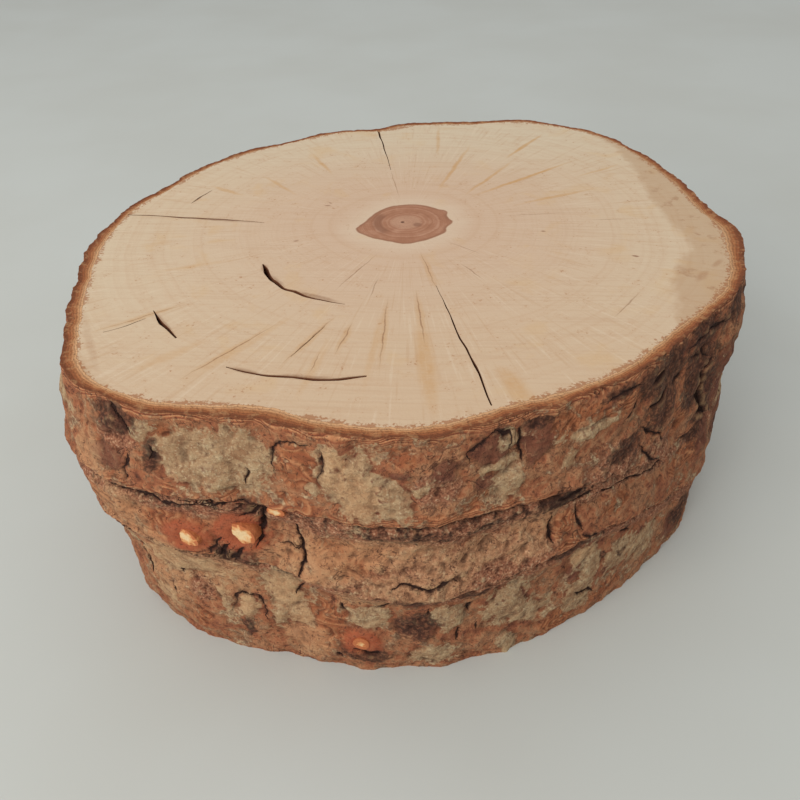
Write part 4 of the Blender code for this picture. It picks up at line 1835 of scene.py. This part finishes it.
    def lay_core(self) -> None:
        """Lays the brown core, with its pale halo, its dark arc and spot, and the pith."""
        g, small, fine, distance = self.g, self.small, self.fine, self.distance
        inwards = g.math("MULTIPLY", self.past(self.core_edge, self.core_scale), -1.0)
        inwards = g.total((inwards, 1.0), (small, 1.0), (-0.5, 1.0))
        halo = g.math("MULTIPLY", g.step(inwards, -16, -1), g.step(inwards, 0.4, -0.4))
        g.lay(g.math("MULTIPLY", halo, 0.4), self.core_halo)
        rings = g.math("DIVIDE", g.total((distance, 1.0), (small, 2.0)), 1.9)
        rings = g.total((self.stretched(rings, 0.0, 0.0), 0.6), (small, 0.4))
        left = g.math("MULTIPLY", g.step(self.turn, 0.36, 0.42), g.step(self.turn, 0.66, 0.6))
        arc = g.math("MULTIPLY", g.step(distance, 13, 15.5), g.step(distance, 21, 18))
        core = g.ramp(rings, self.core, 0.35, 0.65)
        for share, code in (
            (g.step(distance, 11, 7, 0.0, 0.5), self.core_middle),
            (g.math("MULTIPLY", g.math("MULTIPLY", left, arc), 0.55), self.dark_core),
            (g.step(self.away_from(6.5, -4.0), 3.4, 1.4, 0.0, 0.6), self.dark_core),
            (g.step(self.away_from(-2.0, 0.0), 1.5, 0.7, 0.0, 0.9), self.pith),
            (g.step(inwards, 2.6, 0.6, 0.0, 0.6), self.core_rim),
            (g.step(fine, 0.6, 0.75, 0.0, 0.35), self.dark_core),
        ):
            core = g.mix(share, core, code)
        g.lay(g.step(inwards, -0.5, 0.7), core)


@dataclass(frozen=True)
class TwigFinish:
    """The sawn face of a twig's stub: cream wood with an orange edge."""

    stub: Stub
    rings: tuple[str, ...] = ("e0c294", "dbae7a", "cf8b54", "b5683e")
    flecks: str = "c98a50"
    roughness: float = 0.72
    specular: float = 0.3

    def material(self, centre: Vector, outwards: Vector) -> bpy.types.Material:
        """Makes the finish.

        Args:
            centre: The middle of the stub's sawn face, in metres.
            outwards: The direction that the face looks in.

        Returns:
            The material.
        """
        g = Graph(self.stub.name)
        node = g.add("ShaderNodeMapping", vector_type="TEXTURE")
        g.put(node.inputs["Vector"], g.place)
        node.inputs["Location"].default_value = centre
        node.inputs["Rotation"].default_value = (0, 0, math.atan2(outwards.y, outwards.x))
        node.inputs["Scale"].default_value = (1e3, self.stub.width * MM, self.stub.tall * MM)
        away = g.add("ShaderNodeVectorMath", operation="LENGTH")
        g.put(away.inputs[0], node.outputs[0])
        small, fine = g.noise(2.4, 3), g.noise(0.9, 2)
        out = g.total((away.outputs["Value"], 1.0), (small, 1.3), (self.stub.browned - 0.65, 1.0))
        g.colour = g.ramp(out, self.rings, 0.5, 1.15)
        g.lay(g.step(fine, 0.55, 0.75, 0.0, 0.35), self.flecks)
        g.relief((small, 0.5), (fine, 0.2))
        return g.finish(self.roughness, self.specular)


# --- Pieces


@dataclass
class SawnWood:
    """The wood of the round, with its drying cracks."""

    trunk: Trunk
    columns: int = 1180
    stride: float = 2.2
    jitter: float = 0.45
    above: float = 2.0
    seed: int = 23
    sharp_angle: float = 30.0
    map_span: float = 0.4

    def build(self) -> bpy.types.Object:
        """Models the round and cuts its cracks.

        Returns:
            The piece.
        """
        solid = self.round()
        cutters = bmesh.new()
        draw = np.random.default_rng(self.seed)
        for crack in CRACKS:
            self.cut(cutters, crack, draw)
        bmesh.ops.recalc_face_normals(cutters, faces=cutters.faces)
        tool = add_piece("crack_cutters", mesh_of("crack_cutters", cutters))
        piece = add_piece("wood", mesh_of("wood", solid))
        modifier = piece.modifiers.new("cracks", "BOOLEAN")
        modifier.operation = "DIFFERENCE"
        modifier.solver = "EXACT"
        modifier.object = tool
        graph = bpy.context.evaluated_depsgraph_get()
        mesh = bpy.data.meshes.new_from_object(piece.evaluated_get(graph))
        piece.modifiers.clear()
        piece.data = mesh
        bpy.data.objects.remove(tool, do_unlink=True)
        self.lay_flat(mesh)
        mesh.shade_smooth()
        mesh.set_sharp_from_angle(angle=math.radians(self.sharp_angle))
        return piece

    def round(self) -> bmesh.types.BMesh:
        """Models the plain round: a ring shaped to the bark's inside, raised to the cut.

        Returns:
            The round.
        """
        solid = bmesh.new()
        made = bmesh.ops.create_circle(solid, cap_ends=True, segments=self.columns, radius=1)
        face = made["verts"][0].link_faces[0]
        raised = bmesh.ops.extrude_face_region(solid, geom=[face])["geom"]
        upper = {item for item in raised if isinstance(item, bmesh.types.BMVert)}
        azimuth = np.arange(self.columns) * FULL_TURN / self.columns
        for level, verts in ((0.0, set(solid.verts) - upper), (self.trunk.height, upper)):
            outline = self.trunk.wood(azimuth, np.full_like(azimuth, level))
            for vert in verts:
                turn = math.degrees(math.atan2(vert.co.y, vert.co.x)) % FULL_TURN
                column = round(turn * self.columns / FULL_TURN) % self.columns
                vert.co = self.trunk.point(azimuth[column], outline[column], level)
        bmesh.ops.recalc_face_normals(solid, faces=solid.faces)
        return solid

    def cut(self, mesh: bmesh.types.BMesh, crack: Crack, draw: np.random.Generator) -> None:
        """Adds the wedge that cuts one crack.

        Args:
            mesh: The cutters' mesh.
            crack: The crack.
            draw: Where the crack's roughness comes from.
        """
        knots = [self.trunk.point(turn, distance, self.trunk.height) for turn, distance, _ in crack.path]
        run = np.concatenate([[0], np.cumsum([(b - a).length for a, b in zip(knots, knots[1:])])]) / MM
        at = np.linspace(0, run[-1], max(int(run[-1] / self.stride), 4))
        flat = np.array([knot.to_2d() for knot in knots])
        middle = np.stack([np.interp(at, run, flat[:, 0]), np.interp(at, run, flat[:, 1])], axis=1)
        width = np.interp(at, run, [station[2] for station in crack.path])
        coarse = np.linspace(0, run[-1], max(len(at) // 3, 4))
        bends, swells = draw.uniform(-1, 1, (2, len(coarse)))
        stray = self.jitter * np.interp(at, coarse, bends) * np.minimum(width, 1.6)
        width = width * (1 + 0.25 * np.interp(at, coarse, swells))
        along = np.gradient(middle, axis=0)
        along /= np.linalg.norm(along, axis=1, keepdims=True)
        across = np.stack([-along[:, 1], along[:, 0]], axis=1)
        loops = []
        for index, share in enumerate(at / run[-1]):
            centre = middle[index] + across[index] * stray[index] * MM
            depth = crack.depth * (0.25 + 0.75 * math.sin(math.pi * min(max(share, 0.04), 0.96)) ** 0.5)
            spread = across[index] * width[index] / 2 * MM * (1 + self.above / depth)
            high, low = (self.trunk.height + self.above) * MM, (self.trunk.height - depth) * MM
            corners = [(*(centre + spread), high), (*(centre - spread), high), (*centre, low)]
            verts = [mesh.verts.new(corner) for corner in corners]
            face = bmesh.ops.contextual_create(mesh, geom=verts)["faces"][0]
            loops.append((face, list(face.edges)))
        for (_, first), (_, second) in zip(loops, loops[1:]):
            bmesh.ops.bridge_loops(mesh, edges=first + second)
        bmesh.ops.delete(mesh, geom=[face for face, _ in loops[1:-1]], context="FACES_ONLY")

    def lay_flat(self, mesh: bpy.types.Mesh) -> None:
        """Gives the round its map for baking: the top cut, the bottom cut and the side apart.

        Args:
            mesh: The round's mesh, with its cracks.
        """
        layer = mesh.uv_layers.new(name=BAKE_MAP)
        for face in mesh.polygons:
            for corner in face.loop_indices:
                place = mesh.vertices[mesh.loops[corner].vertex_index].co
                u, v = place.x / self.map_span + 0.5, place.y / self.map_span + 0.5
                if face.normal.z > 0.01 or (abs(face.normal.z) < 0.3 and place.to_2d().length < 0.12):
                    layer.data[corner].uv = (u * 0.74, v * 0.74)
                elif face.normal.z < -0.5:
                    layer.data[corner].uv = (0.75 + u * 0.24, 0.01 + v * 0.24)
                else:
                    turn = math.atan2(place.y, place.x) / math.tau + 0.5
                    layer.data[corner].uv = (0.01 + turn * 0.97, 0.77 + place.z)


@dataclass
class TwigStub:
    """A twig's stub: a short swollen cone with a slightly dished sawn face."""

    stub: Stub
    trunk: Trunk
    root: float = 5.0
    segments: int = 40
    rings: tuple[Place, ...] = ((0.14, 0.22), (0.2, 0.06), (0.26, 0.02), (0.2, -0.08))
    seed: int = 41
    uneven: float = 0.10
    sharp_angle: float = 40.0

    def build(self) -> bpy.types.Object:
        """Models the stub and dresses it.

        Returns:
            The piece.
        """
        stub = self.stub
        azimuth, height = np.array([stub.azimuth]), np.array([[stub.height]])
        surface = float(self.trunk.side(azimuth, height)[0, 0])
        turn = math.radians(stub.azimuth)
        outwards = Vector((math.cos(turn), math.sin(turn), 0))
        centre = self.trunk.point(stub.azimuth, surface + stub.length, stub.height)
        shape = bmesh.new()
        bmesh.ops.create_cone(
            shape, cap_ends=True, segments=self.segments, radius1=1.02, radius2=1.0,
            depth=self.root + stub.length,
        )
        face = max(shape.faces, key=lambda item: item.calc_center_median().z)
        for inset, lift in self.rings:
            bmesh.ops.inset_region(shape, faces=[face], thickness=inset, depth=0, use_even_offset=False)
            bmesh.ops.translate(shape, verts=face.verts, vec=(0, 0, lift))
        bmesh.ops.subdivide_edges(
            shape, edges=[edge for edge in shape.edges if abs(edge.verts[0].co.z - edge.verts[1].co.z) > 1],
            cuts=5,
        )
        noise = Noise(self.seed)
        for vert in shape.verts:
            point = np.array([vert.co.x * stub.width, vert.co.y * stub.tall, vert.co.z])
            uneven = float(noise.rough(point[None] + 50 * stub.azimuth, 4.5, 3)[0])
            vert.co.x *= stub.width * (1 + self.uneven * uneven)
            vert.co.y *= stub.tall * (1 + self.uneven * uneven)
            vert.co.z += 0.35 * uneven - (self.root + stub.length) / 2
        sideways = Vector((-outwards.y, outwards.x, 0))
        turned = Matrix((sideways, (0, 0, 1), outwards)).transposed().to_4x4()
        placed = Matrix.Translation(centre) @ turned @ Matrix.Scale(MM, 4)
        bmesh.ops.transform(shape, matrix=placed, verts=shape.verts)
        bmesh.ops.recalc_face_normals(shape, faces=shape.faces)
        piece = add_piece(stub.name, mesh_of(stub.name, shape))
        piece.data.shade_smooth()
        piece.data.set_sharp_from_angle(angle=math.radians(self.sharp_angle))
        piece.data.materials.append(TwigFinish(stub).material(centre, outwards))
        return piece


class Lamp(NamedTuple):
    """A large soft square light that faces the stump."""

    name: str
    place: tuple[float, float, float]
    size: float
    power: float
    tint: tuple[float, float, float]


@dataclass
class Studio:
    """The pale floor, the soft light and the camera, in metres."""

    floor_half: float = 3.0
    floor_colours: tuple[str, str] = ("c7cac4", "c3c5be")
    floor_roughness: float = 0.6
    floor_specular: float = 0.25
    camera_place: tuple[float, float, float] = (-0.00887, -0.4216, 0.372)
    camera_tilt: float = math.radians(52)
    camera_roll: float = math.radians(-2)
    lens: float = 36.0
    sky: tuple[float, float, float] = (0.98, 0.99, 1.0)
    sky_strength: float = 0.58
    lamps: tuple[Lamp, ...] = (
        Lamp("window", (-1.38, -1.56, 1.35), 1.7, 36.5, (1.0, 0.98, 0.96)),
        Lamp("ceiling", (-0.2, 0.3, 2.2), 2.4, 6.0, (1.0, 0.99, 0.98)),
    )
    lit_place: tuple[float, float, float] = (0, 0, 0.1)

    def build(self) -> None:
        """Makes the whole set."""
        self.add_camera()
        self.add_floor()
        for lamp in self.lamps:
            self.hang(lamp)
        world = bpy.data.worlds.new("sky")
        world.use_nodes = True
        background = world.node_tree.nodes["Background"]
        background.inputs["Color"].default_value = (*self.sky, 1)
        background.inputs["Strength"].default_value = self.sky_strength
        bpy.context.scene.world = world
        bpy.context.scene.view_settings.view_transform = "Standard"

    def add_camera(self) -> None:
        """Puts the camera in front of the stump, looking down at it."""
        data = bpy.data.cameras.new("camera")
        data.lens, data.sensor_width, data.clip_start = self.lens, 36.0, 0.01
        camera = bpy.data.objects.new("camera", data)
        turned = Matrix.Rotation(self.camera_tilt, 4, "X") @ Matrix.Rotation(self.camera_roll, 4, "Z")
        camera.matrix_world = Matrix.Translation(self.camera_place) @ turned
        bpy.context.scene.collection.objects.link(camera)
        bpy.context.scene.camera = camera

    def add_floor(self) -> None:
        """Lays the floor just under the stump."""
        shape = bmesh.new()
        bmesh.ops.create_grid(shape, x_segments=2, y_segments=2, size=self.floor_half)
        floor = add_piece("floor", mesh_of("floor", shape))
        g = Graph("floor")
        g.colour = linear(self.floor_colours[0])
        g.lay(g.step(g.noise(240, 3), 0.3, 0.7), self.floor_colours[1])
        floor.data.materials.append(g.finish(self.floor_roughness, self.floor_specular))

    def hang(self, lamp: Lamp) -> None:
        """Hangs a lamp.

        Args:
            lamp: The lamp.
        """
        data = bpy.data.lights.new(lamp.name, "AREA")
        data.size, data.energy, data.color = lamp.size, lamp.power, lamp.tint
        light = bpy.data.objects.new(lamp.name, data)
        aim = (Vector(self.lit_place) - Vector(lamp.place)).to_track_quat("-Z", "Y")
        light.matrix_world = Matrix.Translation(lamp.place) @ aim.to_matrix().to_4x4()
        bpy.context.scene.collection.objects.link(light)


def enrol(piece: bpy.types.Object) -> None:
    """Makes a piece part of the stump.

    Args:
        piece: The piece.
    """
    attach(piece, BODY)
    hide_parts(NODE)
    log.info("%s: %d faces", piece.name, len(piece.data.polygons))


def main() -> None:
    """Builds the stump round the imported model, and its studio."""
    logging.basicConfig(level=logging.INFO, format="%(message)s")
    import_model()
    Studio().build()
    trunk = Trunk()
    skin = BarkSkin(trunk)
    collars = (
        Collar("upper_bark_collar", trunk, skin, UPPER_CREASE, None, rows=60),
        Collar("middle_bark_collar", trunk, skin, LOWER_CREASE, UPPER_CREASE, rows=56),
        Collar("lower_bark_collar", trunk, skin, None, LOWER_CREASE, rows=70),
    )
    bark = BarkFinish().material()
    for collar in collars:
        piece = collar.build()
        piece.data.materials.append(bark)
        enrol(piece)
    wood = SawnWood(trunk).build()
    wood.data.materials.append(WoodFinish(trunk).material())
    enrol(wood)
    for stub in STUBS:
        enrol(TwigStub(stub, trunk).build())


if __name__ == "__main__":
    main()
